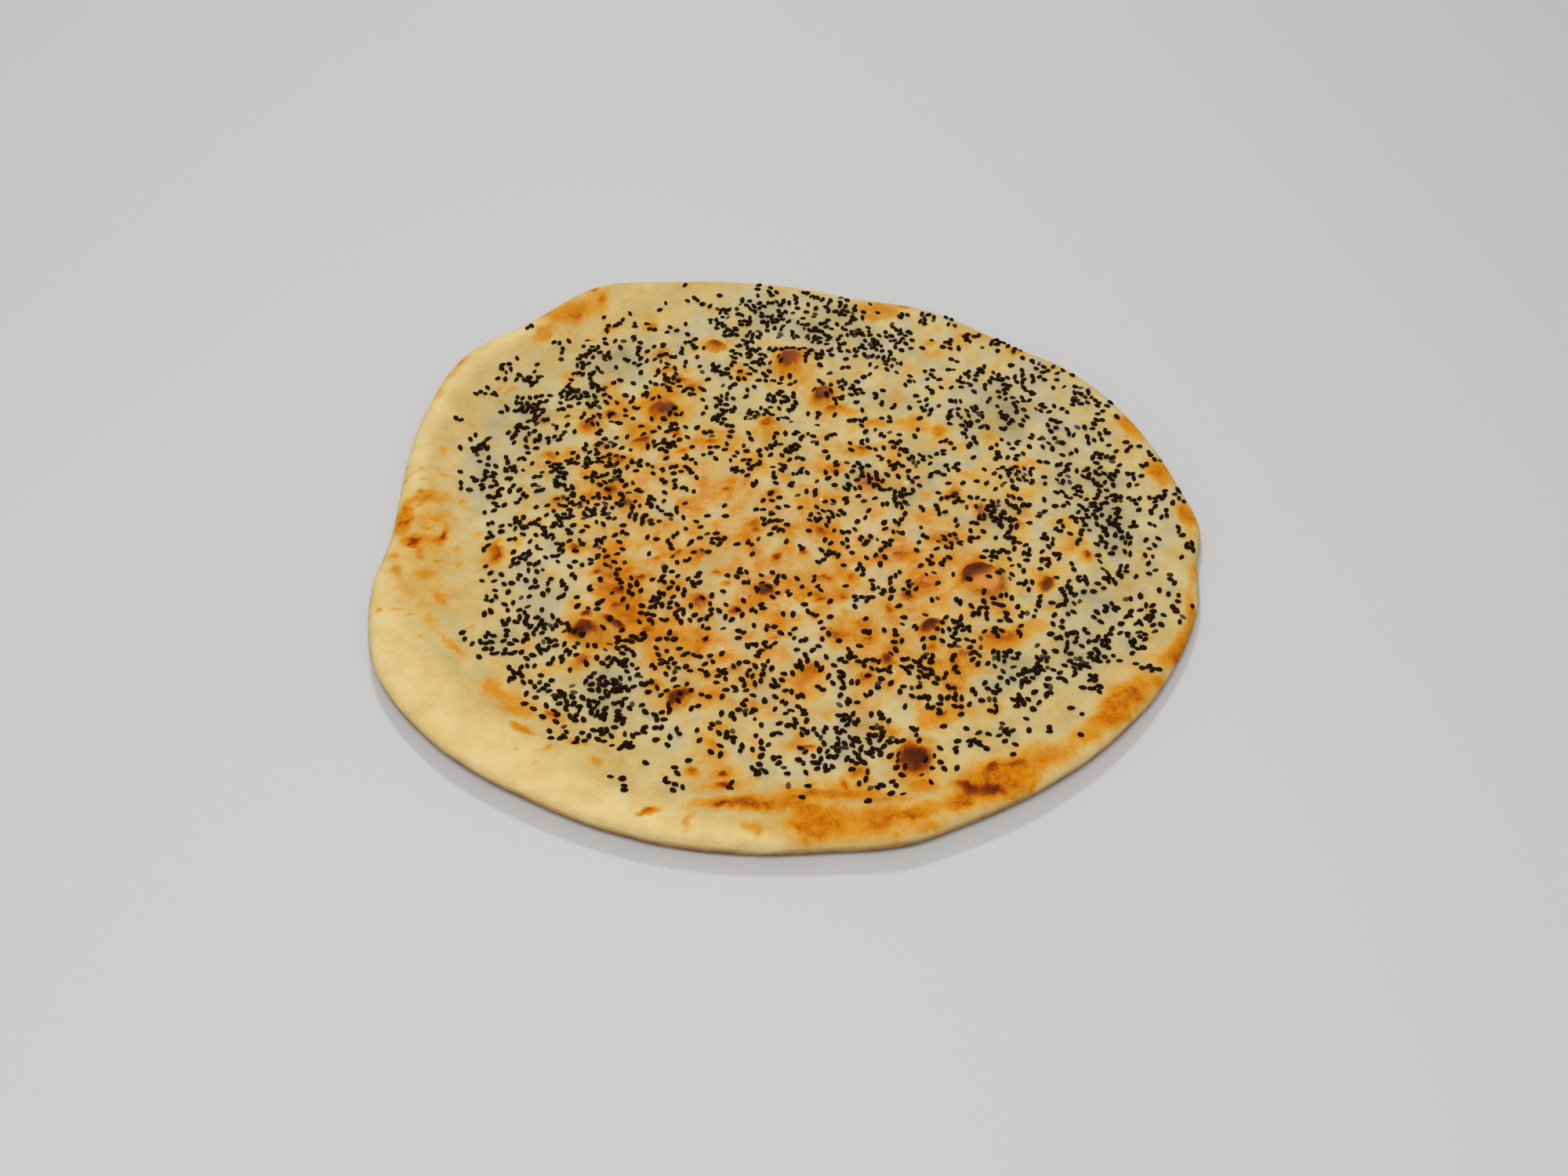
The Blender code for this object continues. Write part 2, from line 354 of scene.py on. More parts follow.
    def top(self, x: Array, y: Array) -> Array:
        """Work out the upper side, without the fine relief.

        Args:
            x: Points along X, in metres.
            y: Points along Y, in metres.

        Returns:
            Its height at each point, in metres.
        """
        bearing, inset = np.arctan2(y, x), self.inset(x, y)
        away = np.clip(1 - inset / (self.edge_round * MM), 0, 1)
        rise = self.belly + (1 - self.belly) * np.sqrt(1 - away**2)
        broad = self.relief(x, y) * ease(inset / (self.relief_inset * MM))
        return rise * self.thickness(bearing, inset) + broad + self.curl(bearing, inset)

    def under(self, x: Array, y: Array) -> Array:
        """Work out the underside, which is round at the edge and then level.

        Args:
            x: Points along X, in metres.
            y: Points along Y, in metres.

        Returns:
            Its height at each point, in metres.
        """
        bearing, inset = np.arctan2(y, x), self.inset(x, y)
        away = np.clip(1 - inset / (self.underside_round * MM), 0, 1)
        rise = self.belly * (1 - np.sqrt(1 - away**2))
        return rise * self.thickness(bearing, inset) + self.curl(bearing, inset)


@dataclass
class SeedSpread:
    """Where the seeds fell: thinly all over, thickly in clumps, and not on most of the rim."""

    shape: DoughShape
    base_density: float = 0.34
    # Layers of noise that move the bare rim's edge, thin the seeds, and break them up into strings.
    rim_wander: tuple = ((7, 0.016, 42),)
    thinning: tuple = ((1.6, 0.013, 41),)
    knots: tuple = ((0.7, 0.0062, 43), (0.5, 0.0034, 44))
    # How wide the fade from bare to seeded is, in metres, and how much of it lies on the bare side.
    rim_fade: float = 0.016
    rim_fade_start: float = 0.3
    # Over what length the seeds set in at the edge, in metres, and how many such lengths stay bare.
    edge_fade: float = 0.001
    edge_gap: float = 1.2
    # The density at which the seeds start to shade the crust.
    shade_from: float = 0.5
    # How strongly the knots gather the seeds: the level between them, and their contrast.
    knot_floor: float = 0.2
    knot_gain: float = 1.6
    knot_level: float = 0.44
    knot_contrast: float = 1.2
    # How wide the rim is that has no seeds, by bearing.
    bare_rim: tuple = (
        (0, 3), (40, 3), (80, 3), (100, 5), (112, 20), (125, 34), (138, 34), (160, 24), (180, 30),
        (205, 48), (225, 52), (248, 34), (270, 22), (295, 24), (312, 34), (330, 20), (345, 6),
    )
    # Clumps: x, y, radius, and how thick they lie.
    clumps: tuple = (
        (-12, 141, 5, 1.0), (-30, 130, 5, 1.2), (-27, 117, 5, 1.0), (-22, 104, 6, 1.1),
        (-12, 127, 9, 0.9), (5, 130, 9, 0.7), (22, 130, 8, 0.8), (12, 115, 9, 0.9),
        (-36, 120, 3, 0.8), (-43, 137, 3, 0.7), (-68, 124, 4, 0.7), (-78, 120, 4, 0.6),
        (38, 112, 7, 0.9), (50, 112, 4, 0.8), (42, 97, 7, 0.9), (30, 106, 5, 0.6),
        (-12, 95, 5, 0.8), (12, 101, 6, 0.7), (59, 126, 4, 1.2), (71, 125, 2.5, 0.6),
        (70, 109, 2.5, 0.6), (77, 109, 2.5, 0.6), (90, 109, 4, 0.8), (100, 104, 4, 0.8),
        (110, 97, 4, 0.6), (80, 88, 5, 0.8), (95, 83, 7, 0.9), (107, 87, 7, 0.7),
        (120, 85, 5, 0.7), (125, 74, 5, 1.1), (135, 66, 4, 0.6), (70, 95, 4, 0.4),
        (58, 68, 4.5, 1.2), (77, 70, 4, 0.6), (78, 60, 6, 0.9), (66, 61, 4, 0.6),
        (90, 62, 5, 0.6), (98, 70, 4, 0.6), (113, 58, 4, 0.7), (112, 47, 6, 0.8),
        (128, 52, 5, 0.7), (130, 40, 5, 0.8), (128, 28, 6, 1.1), (130, 15, 7, 1.0),
        (132, 2, 7, 1.3), (130, -9, 6, 1.1), (119, -2, 6, 1.0), (117, 12, 5, 0.8),
        (115, 28, 6, 0.9), (149, 40, 3, 0.8), (141, 28, 4, 0.6), (150, 13, 6, 0.6),
        (160, 15, 3, 0.6), (161, -10, 4, 0.5), (146, -8, 4, 0.4), (88, 40, 5, 0.8),
        (93, 27, 7, 1.1), (84, 8, 9, 1.0), (75, 4, 5, 0.8), (66, 15, 5, 0.5), (90, -8, 5, 0.6),
        (101, -10, 5, 0.6), (48, 40, 7, 0.8), (40, 30, 5, 0.5), (56, 30, 6, 0.8),
        (67, 30, 5, 0.5), (44, 19, 7, 1.0), (28, 28, 6, 0.8), (15, 22, 4, 0.5), (13, 6, 6, 0.9),
        (17, 14, 5, 0.7), (43, 3, 3, 0.5), (23, 84, 5, 0.8), (22, 70, 4, 0.7), (34, 68, 4, 0.7),
        (28, 60, 4, 0.5), (-5, 73, 6, 0.9), (-15, 66, 6, 0.7), (-29, 71, 8, 0.9),
        (-28, 59, 5, 0.6), (-31, 90, 5, 0.7), (-12, 84, 5, 0.6), (0, 84, 4, 0.5), (1, 46, 5, 1.1),
        (-10, 48, 5, 0.7), (10, 51, 4, 0.5), (-16, 34, 4.5, 0.9), (-5, 28, 4, 0.5),
        (6, 29, 4, 0.4), (-55, 50, 6, 0.9), (-53, 62, 4, 0.6), (-40, 31, 6, 0.5),
        (-52, 33, 7, 0.8), (-35, 42, 5, 0.4), (-56, 85, 5, 0.8), (-47, 79, 4, 0.6),
        (-63, 76, 4, 0.6), (-64, 107, 7, 0.7), (-48, 105, 5, 0.6), (-88, 105, 7, 1.0),
        (-100, 102, 5, 0.8), (-88, 95, 7, 1.0), (-94, 77, 5, 1.6), (-85, 75, 7, 0.9),
        (-85, 66, 5, 0.6), (-75, 65, 4, 0.6), (-123, 97, 4, 0.5), (-130, 92, 3, 0.5),
        (-115, 87, 6, 0.8), (-131, 77, 4, 0.7), (-112, 68, 5, 1.6), (-108, 61, 7, 1.0),
        (-112, 50, 5, 0.9), (-130, 45, 4.5, 1.2), (-128, 28, 5.5, 1.2), (-133, 22, 3, 1.0),
        (-118, 33, 5, 0.9), (-140, 60, 2, 0.6), (-121, 12, 4, 0.7), (-95, 50, 4, 0.6),
        (-84, 45, 5, 0.8), (-72, 47, 5, 0.7), (-97, 31, 6, 1.1), (-95, 21, 7, 1.0),
        (-83, 37, 6, 1.1), (-75, 29, 6, 0.8), (-86, 10, 9, 0.9), (-70, 12, 8, 0.9),
        (-112, 19, 5, 0.7), (-111, 0, 6, 1.2), (-95, 1, 7, 0.9), (-95, -12, 5, 0.7),
        (-77, -6, 7, 0.7), (-65, 0, 5, 0.6), (-109, -20, 6, 1.3), (-98, -25, 6, 0.6),
        (-90, -33, 4, 0.6), (-115, -38, 4, 1.2), (-55, 15, 6, 0.6), (-45, 4, 5, 0.6),
        (-113, -60, 7, 1.6), (-103, -52, 6, 0.8), (-92, -50, 6, 0.9), (-92, -63, 8, 1.1),
        (-82, -51, 4, 1.0), (-104, -73, 5, 0.8), (-95, -84, 6, 1.1), (-87, -90, 6, 1.1),
        (-80, -98, 7, 0.9), (-68, -77, 6, 2.0), (-70, -88, 7, 1.8), (-68, -98, 7, 1.3),
        (-60, -110, 5, 0.7), (-78, -106, 4, 0.6), (-62, -66, 7, 0.9), (-51, -42, 8, 0.9),
        (-45, -25, 6, 0.7), (-35, -46, 5, 0.6), (-57, -58, 5, 0.6), (-33, -8, 3.5, 1.0),
        (-43, -70, 4, 0.9), (-36, -68, 4, 0.8), (-42, -86, 4, 0.7), (-15, -45, 5, 0.6),
        (-12, -57, 5, 0.9), (-12, -31, 4, 0.7), (-5, 4, 7, 0.5), (-22, -75, 6, 0.8),
        (-10, -75, 7, 0.8), (-20, -86, 6, 0.7), (0, -86, 5, 0.7), (-31, -91, 5, 0.5),
        (-25, -103, 5, 0.9), (0, -100, 6, 0.6), (-13, -120, 3.5, 1.0), (-43, -127, 3.5, 1.2),
        (-44, -126, 2.5, 0.8), (-62, -126, 2.5, 0.7), (-75, -125, 2, 0.5), (8, -57, 5, 1.0),
        (20, -65, 6, 0.6), (32, -70, 6, 0.7), (20, -78, 6, 0.6), (20, -18, 6, 0.6),
        (32, -13, 7, 0.6), (10, -32, 4, 0.5), (29, -37, 4, 0.7), (42, -33, 5, 1.2),
        (48, -60, 6, 0.8), (50, -78, 8, 0.9), (40, -75, 6, 0.7), (53, -89, 6, 0.9),
        (66, -55, 4.5, 1.2), (74, -43, 6, 1.0), (62, -20, 3, 0.7), (80, -18, 4, 0.6),
        (82, -52, 4, 0.6), (65, -8, 4, 0.5), (82, -65, 6, 1.0), (88, -76, 8, 1.2),
        (76, -83, 6, 0.9), (96, -68, 5, 0.9), (85, -89, 5, 0.6), (110, -67, 8, 1.2),
        (105, -55, 6, 0.9), (118, -60, 7, 0.8), (112, -80, 4, 0.8), (130, -58, 5, 0.6),
        (133, -72, 4, 0.5), (85, -38, 7, 0.6), (97, -32, 8, 0.8), (110, -35, 9, 0.8),
        (100, -45, 6, 0.6), (125, -28, 6, 0.7), (133, -50, 6, 0.8), (142, -47, 6, 0.7),
        (148, -35, 5, 0.6), (25, -107, 8, 1.1), (36, -105, 7, 0.8), (12, -105, 7, 0.8),
        (20, -112, 6, 0.9), (24, -126, 4, 0.9), (37, -126, 5, 1.0), (47, -118, 4.5, 0.9),
        (5, -114, 5, 0.5), (66, -109, 5, 2.0), (80, -105, 4.5, 2.0), (105, -95, 4, 0.4),
        (95, -103, 2, 0.5), (110, -106, 2, 0.5), (-117, 117, 2.5, 0.6), (-71, 146, 2, 0.5),
        (-50, 145, 2, 0.4), (-159, -73, 1, 0.2), (-130, -49, 1.5, 0.5), (-15, 112, 9, 0.9),
        (-8, 102, 6, 0.7), (25, 132, 5, 0.8), (93, 110, 4, 0.8), (-10, 92, 5, 0.5),
        (25, 100, 5, 0.6), (36, 92, 4, 0.4), (-5, 133, 5, 0.4), (-70, 27, 6, 0.7),
        (-98, 44, 4, 0.6), (-77, 47, 4, 0.6), (-95, -8, 6, 0.6), (-103, -20, 6, 0.8),
        (-100, -42, 6, 0.8), (-112, -58, 4, 0.5), (-93, -80, 5, 0.8), (-80, -78, 4, 0.6),
        (-55, -78, 5, 0.7), (-45, -85, 5, 0.6), (-37, -68, 4, 0.4), (-47, -56, 4, 0.5),
        (70, -65, 7, 1.0), (82, -70, 5, 0.6), (62, -112, 6, 0.6), (36, -113, 4, 0.6),
        (50, -118, 4, 0.5), (28, -129, 3, 0.4), (80, -103, 4, 0.4), (100, -20, 3, 0.6),
        (130, -12, 5, 0.7), (30, -10, 4, 0.4), (80, 5, 5, 0.3), (100, 8, 5, 0.3),
        (133, 10, 4, 0.4), (92, 25, 4, 0.3), (57, 30, 4, 0.4), (40, 21, 4, 0.5),
        (-115, 62, 5, 0.5), (-105, 65, 4, 0.5), (-125, 45, 4, 0.3), (-103, 108, 4, 0.5),
        (-73, 122, 4, 0.4), (-62, 110, 4, 0.3), (-5, 48, 4, 0.4), (-5, 65, 4, 0.4),
        (145, -52, 4, 0.4), (120, -76, 4, 0.4), (108, -100, 4, 0.3), (60, 70, 4, 0.3),
        (72, 70, 4, 0.3), (95, 58, 5, 0.4), (113, 57, 4, 0.4), (-52, 36, 4, 0.4),
    )
    # Places that few seeds reached: x, y, radius, and the share that is missing.
    gaps: tuple = (
        (45, 60, 14, 0.8), (30, 60, 6, 0.6), (-5, 75, 4, 0.6), (18, 108, 4, 0.7),
        (66, 40, 7, 0.7), (72, 55, 4, 0.5), (98, 37, 5, 0.5), (48, 100, 6, 0.6),
        (68, 108, 8, 0.5), (52, 128, 5, 0.5), (30, 120, 4, 0.5), (-40, 72, 8, 0.6),
        (-82, 58, 5, 0.6), (-130, 52, 5, 0.6), (-18, 45, 6, 0.5), (-22, 33, 5, 0.5),
        (-100, 20, 6, 0.6), (-100, 2, 7, 0.7), (-88, 8, 6, 0.5), (-120, -20, 8, 0.7),
        (-125, -55, 6, 0.6), (-68, -28, 5, 0.4), (-32, -92, 7, 0.8), (10, -80, 5, 0.7),
        (5, -63, 5, 0.6), (22, -72, 6, 0.4), (42, -72, 9, 0.5), (22, -22, 7, 0.5),
        (5, -35, 6, 0.4), (-22, -50, 5, 0.6), (-55, -5, 5, 0.4), (-32, 12, 6, 0.5),
        (-12, 10, 4, 0.5), (82, -52, 9, 0.7), (100, -50, 6, 0.6), (110, -35, 8, 0.6),
        (123, -38, 5, 0.7), (138, -43, 4, 0.7), (125, -57, 8, 0.5), (85, -18, 6, 0.6),
        (55, -8, 6, 0.4), (142, 16, 6, 0.7), (140, 40, 6, 0.5), (120, 27, 4, 0.5),
        (-62, -108, 8, 0.4), (10, -122, 8, 0.5), (-80, -97, 4, 0.5), (-95, -92, 4, 0.5),
        (-57, 120, 5, 0.4), (-75, 98, 5, 0.4), (-92, 105, 4, 0.5), (-127, 96, 5, 0.6),
        (25, 18, 6, 0.4), (58, 6, 6, 0.4), (40, -5, 5, 0.5), (-65, 38, 4, 0.5), (-60, 58, 5, 0.4),
        (75, -28, 10, 0.97), (43, -112, 7, 0.95), (-54, 66, 7, 0.95), (14, 76, 6, 0.95),
        (-1, 97, 7, 0.95), (-78, -52, 7, 0.95), (-118, -15, 6, 0.8), (-41, -86, 6, 0.9),
        (53, -52, 6, 0.9), (100, -29, 5, 0.9), (36, -72, 5, 0.8), (-34, 108, 5, 0.9),
        (18, 67, 4, 0.8), (-66, -49, 5, 0.9), (-72, 22, 4, 0.7), (72, -119, 13, 0.97),
        (129, -82, 13, 0.95), (35, -141, 16, 0.9), (-100, 127, 14, 0.9), (-18, -133, 5, 0.6),
    )

    def seeded(self, x: Array, y: Array) -> Array:
        """Where seeds were thrown, from 0 on the bare rim to 1."""
        bare = around(self.bare_rim, np.arctan2(y, x)) + layered(x, y, self.rim_wander)
        return ease((self.shape.inset(x, y) - bare * MM) / self.rim_fade + self.rim_fade_start)

    def density(self, x: Array, y: Array) -> Array:
        """Work out how thick the seeds lie.

        Args:
            x: Points along X, in metres.
            y: Points along Y, in metres.

        Returns:
            Their density at each point, of which 1 is a full clump.
        """
        thin = 0.5 + 0.5 * np.clip(layered(x, y, self.thinning), -1, 1)
        total = self.base_density * self.seeded(x, y) * thin
        for px, py, radius, weight in self.clumps:
            total += weight * spot(x, y, (px, py), radius)
        for px, py, radius, share in self.gaps:
            total *= 1 - share * spot(x, y, (px, py), radius)
        return total * np.clip(self.shape.inset(x, y) / self.edge_fade - self.edge_gap, 0, 1)

    def clumped(self, x: Array, y: Array) -> Array:
        """The density again, broken up into strings and small clumps."""
        knots = ease(self.knot_level + self.knot_contrast * layered(x, y, self.knots))
        return self.density(x, y) * (self.knot_floor + self.knot_gain * knots)

    def shade(self, x: Array, y: Array) -> Array:
        """How much the seeds kept the heat off the crust, from 0 to 1."""
        return ease(self.density(x, y) - self.shade_from)


@dataclass
class Baking:
    """Where the oven and the baker's hands left their marks: blisters, toasting and creases."""

    # x, y, half length, half width, tilt, height in sevenths of a millimetre, and char.
    blisters: tuple = (
        (75, -30, 9.2, 8.8, 0, 3, 0.4), (-79.5, -55, 6.8, 5.4, 0, 8, 0.86),
        (-79, -46.5, 2.8, 1.6, 0, 5, 0.84), (43.5, -114.5, 6.2, 7, 0, 8, 0.96),
        (-54.5, 66, 7.6, 4.8, -5, 9, 0.76), (-1, 97, 6, 6.5, 0, 7, 0.66),
        (13.5, 76, 4.4, 5.2, 0, 7, 0.8), (17.5, 67, 4.8, 2.2, 5, 8, 0.58),
        (-34, 108.5, 4.2, 2.6, 0, 9, 0.62), (-86, 56, 5, 4, 0, 7, 0.56),
        (-63, 47, 5.5, 3.6, 0, 7, 0.6), (-63, 120, 2, 2.6, 0, 6, 0.5),
        (-81, 118, 2, 1.5, 0, 5, 0.5), (-48, 86, 5.5, 2.2, -12, 8, 0.58),
        (-43, 80, 2.2, 4, 10, 5, 0.56), (-57, 102, 3, 3, 0, 6, 0.54), (-54, 92, 4, 2, 0, 5, 0.52),
        (-73.5, 21, 3.8, 3.2, 0, 9, 0.76), (-67.5, 13, 2.8, 4, 0, 8, 0.72),
        (-71.5, 36, 2.8, 2.6, 0, 7, 0.6), (-85, 15, 2.2, 3.5, 0, 6, 0.55),
        (-96, 15, 2.6, 2, 0, 6, 0.6), (-76.5, 65.5, 3.6, 2.8, 0, 6, 0.66),
        (-101, 41, 4, 3, -10, 6, 0.58), (-107, 61, 2.5, 2.5, 0, 5, 0.52),
        (-10, 56.5, 3.6, 3.6, 0, 7, 0.58), (-15, 62, 4, 1.6, 0, 5, 0.58),
        (-49, 53.5, 2.8, 1.8, 0, 5, 0.58), (-34.5, 49, 6, 2.2, -8, 5, 0.55),
        (-45, 42.5, 3, 2, 30, 5, 0.52), (-22, 91, 2.5, 4, 0, 6, 0.46),
        (-27, 22, 3.2, 2.4, 0, 6, 0.6), (-20, 24, 2, 1.6, 30, 5, 0.5),
        (-9, 18, 4.4, 1.8, 10, 5, 0.54), (-58, 33, 2.8, 2.2, -30, 5, 0.54),
        (-81, 46, 3, 2, 0, 4, 0.5), (-15.5, 2, 2.6, 1.8, 0, 6, 0.62),
        (-14.5, -2.5, 2.4, 2, 0, 7, 0.62), (-54, -18, 2.2, 2, 0, 6, 0.54),
        (-46, -13, 2.2, 2, 0, 6, 0.55), (-69, -48.5, 4.6, 2.1, -25, 6, 0.9),
        (-68, -43.5, 2.6, 1.1, 0, 5, 0.66), (-68, -35.5, 2.6, 2.6, 0, 7, 0.76),
        (-59, -28.5, 3, 1.7, 20, 7, 0.76), (-77, -25.5, 2.6, 1.5, 0, 5, 0.66),
        (-54, -52, 4, 2.4, 0, 6, 0.54), (-118, -14, 3.5, 6.5, 0, 7, 0.54),
        (-87, -11, 3, 2.8, 0, 7, 0.62), (-36.5, -40, 4, 2.5, 15, 7, 0.68),
        (-22, -43, 2.8, 2, 0, 6, 0.62), (-10.5, -33.5, 3.6, 3.2, 0, 8, 0.92),
        (-26, -31, 2.3, 1.6, 0, 5, 0.6), (-17, -36, 3.2, 1.1, -25, 5, 0.56),
        (-30, -24.5, 2, 1.8, 0, 5, 0.54), (-42, -86.5, 5.4, 3.6, 35, 8, 0.84),
        (-79, -69, 4, 2.4, 0, 6, 0.54), (-52, -81, 3, 2.6, 0, 6, 0.46),
        (-22, -72, 4, 2.4, 0, 6, 0.5), (-88, -94, 3.5, 2.2, -20, 7, 0.58),
        (-6, -17, 2.2, 2.4, 0, 6, 0.7), (5, -14.5, 1.8, 2.2, 0, 5, 0.56),
        (11, -3, 2.7, 2.6, 0, 6, 0.7), (12, -25.5, 5, 2.2, 10, 7, 0.6),
        (24, -26, 3, 2.6, 0, 6, 0.54), (41, -15, 2.4, 2.3, 0, 6, 0.56),
        (45, -36.5, 3.4, 3.2, 0, 5, 0.76), (37, -42, 1.6, 3, 0, 5, 0.56),
        (11.5, -38.5, 3.8, 1.6, 8, 6, 0.64), (20, -36.5, 1.6, 2.6, 0, 5, 0.54),
        (100, -29.5, 3.2, 3.8, 0, 9, 0.86), (117, -16, 2.2, 2.2, 0, 7, 0.72),
        (53, -52, 6.6, 3, 24, 6, 0.86), (16, -57, 3, 5, 0, 6, 0.52), (27, -51, 4.5, 3, 0, 6, 0.5),
        (37, -69, 2.6, 3.6, 0, 8, 0.68), (28, -76, 5, 2.6, 20, 7, 0.57),
        (62, -70, 3, 6, 0, 6, 0.54), (53, -62, 3, 2, 0, 6, 0.55), (65, -65, 3.6, 2.6, 0, 5, 0.54),
        (76, -57, 6, 2.6, 15, 6, 0.48), (55, -93, 4.4, 1.6, 25, 5, 0.6),
        (60, -82, 4, 3, 0, 5, 0.48), (76, 9, 3, 2.6, 0, 7, 0.62), (92, 1, 2.6, 2.6, 0, 6, 0.56),
        (66, 18, 2.5, 4.5, 0, 6, 0.52), (29, 44, 3.6, 2.2, 0, 6, 0.57),
        (17, 29, 3, 1.8, 0, 6, 0.53), (31, 24, 4, 3, 0, 5, 0.5), (79, 112, 4, 2, 10, 6, 0.53),
        (99, 102, 3, 2.2, 0, 6, 0.5), (63, 55, 3.4, 3.2, 0, 6, 0.52), (24, -119, 4, 3, 0, 6, 0.5),
        (-30, -108, 3, 4, 0, 5, 0.46), (8, -73, 4, 4, 0, 5, 0.46), (-8, -57, 3, 1.6, 0, 5, 0.52),
        (5, -108, 4.2, 1.4, 0, 5, 0.68), (-36, -118.5, 2, 2, 0, 5, 0.56),
        (-24, -118.5, 2.8, 1.9, 0, 5, 0.74), (-24, -124, 4, 2.2, 0, 3, 0.56),
        (43, -141, 3, 1.2, 0, 4, 0.5),
    )
    blister_steps: float = 7.0
    # Large bubbles that stand up from a fold round their foot: x, y, radius, height and browning.
    bubbles: tuple = (
        (75, -30.5, 9.4, 1.7, 0.52), (-79, -56, 6.2, 1.1, 0.5), (43.5, -114.5, 6.8, 1.3, 0.68),
        (-54.5, 65.5, 6.6, 0.9, 0.5), (13.5, 75.5, 5, 0.9, 0.5), (-1, 96.5, 6.2, 0.8, 0.44),
        (-34, 108, 4.4, 0.8, 0.5), (100, -28.5, 3.6, 0.8, 0.6), (-10, -33, 3.6, 0.8, 0.66),
        (-42, -87, 4.6, 0.8, 0.5), (-73.5, 21, 4, 0.8, 0.5), (-63, 47, 4.6, 0.8, 0.4),
        (45, -36.5, 3.2, 0.7, 0.6), (37, -69, 3.4, 0.7, 0.5), (54, -51.5, 4, 0.7, 0),
        (-86, 56, 5, 0.6, 0.3), (-15.5, 2, 2.8, 0.6, 0.52), (11, -3, 2.9, 0.6, 0.56),
        (-68, -34, 2.8, 0.6, 0.56), (-36.5, -40, 3.6, 0.6, 0.52), (-68.5, -48.5, 2.6, 0.5, 0),
        (12, -25.5, 3, 0.5, 0.44),
    )
    # Painted sheen on a bubble's skin, a broad reflection painted as a peach colour: x, y, half
    # length, half width, tilt, share.
    sheen_patches: tuple = (
        (76.5, -33, 4.8, 4.8, 0, 0.5), (-76, -59, 3, 3, -30, 0.2), (-53, 66, 3.5, 2.6, 0, 0.12),
        (14, 76, 2.5, 3, 0, 0.12), (0, 97, 3.5, 3, 0, 0.16), (-56, 75, 4, 3, 0, 0.2),
    )
    # Darkest spots that lie off a blister's middle: x, y, half length, half width, tilt, strength.
    chars: tuple = (
        (71.5, -25, 7, 5, 25, 0.48), (81.5, -33, 2.2, 4.4, 0, 0.16), (76, -38, 5, 1.6, 0, 0.14),
        (65.5, -31, 1.8, 4, -40, 0.26), (-82, -56, 2.4, 2.6, 0, 0.2),
        (-53, 65, 3.4, 2.6, 0, 0.16), (-63, 48, 3, 1.5, 0, 0.2), (-1.5, 96, 3.4, 2.4, 0, 0.14),
        (19, -124, 1.6, 4, 30, 0.36), (60.5, -127, 4.4, 2, -16, 0.56),
        (71, -128.6, 6, 1.7, 4, 0.4), (72, -119, 3.6, 1.5, 10, 0.34),
        (80, -117.5, 5, 1.4, 5, 0.18), (61, -134, 2, 1.4, 0, 0.12), (86, -127, 3, 1.4, 45, 0.2),
        (-117, -15, 2, 2.5, 0, 0.14), (37, -69, 1.8, 2.4, 0, 0.12),
        (-26, -135, 4.5, 1.1, 0, 0.34), (-18, -132.5, 7, 1.8, 6, 0.06),
        (2, -130, 4, 1.1, 10, 0.2), (-52, -138, 4, 1.2, 12, 0.34), (43, -141, 3, 1.2, 0, 0.1),
        (10, -127, 9, 1.3, 8, 0.14), (-96, 125, 3, 2, 20, 0.12), (-86, 128, 1.5, 2, 0, 0.24),
        (-86, 136, 1.6, 3, 0, 0.12), (-103, -92, 5, 1.5, -20, 0.12), (129, -83, 7, 2, 20, 0.04),
    )
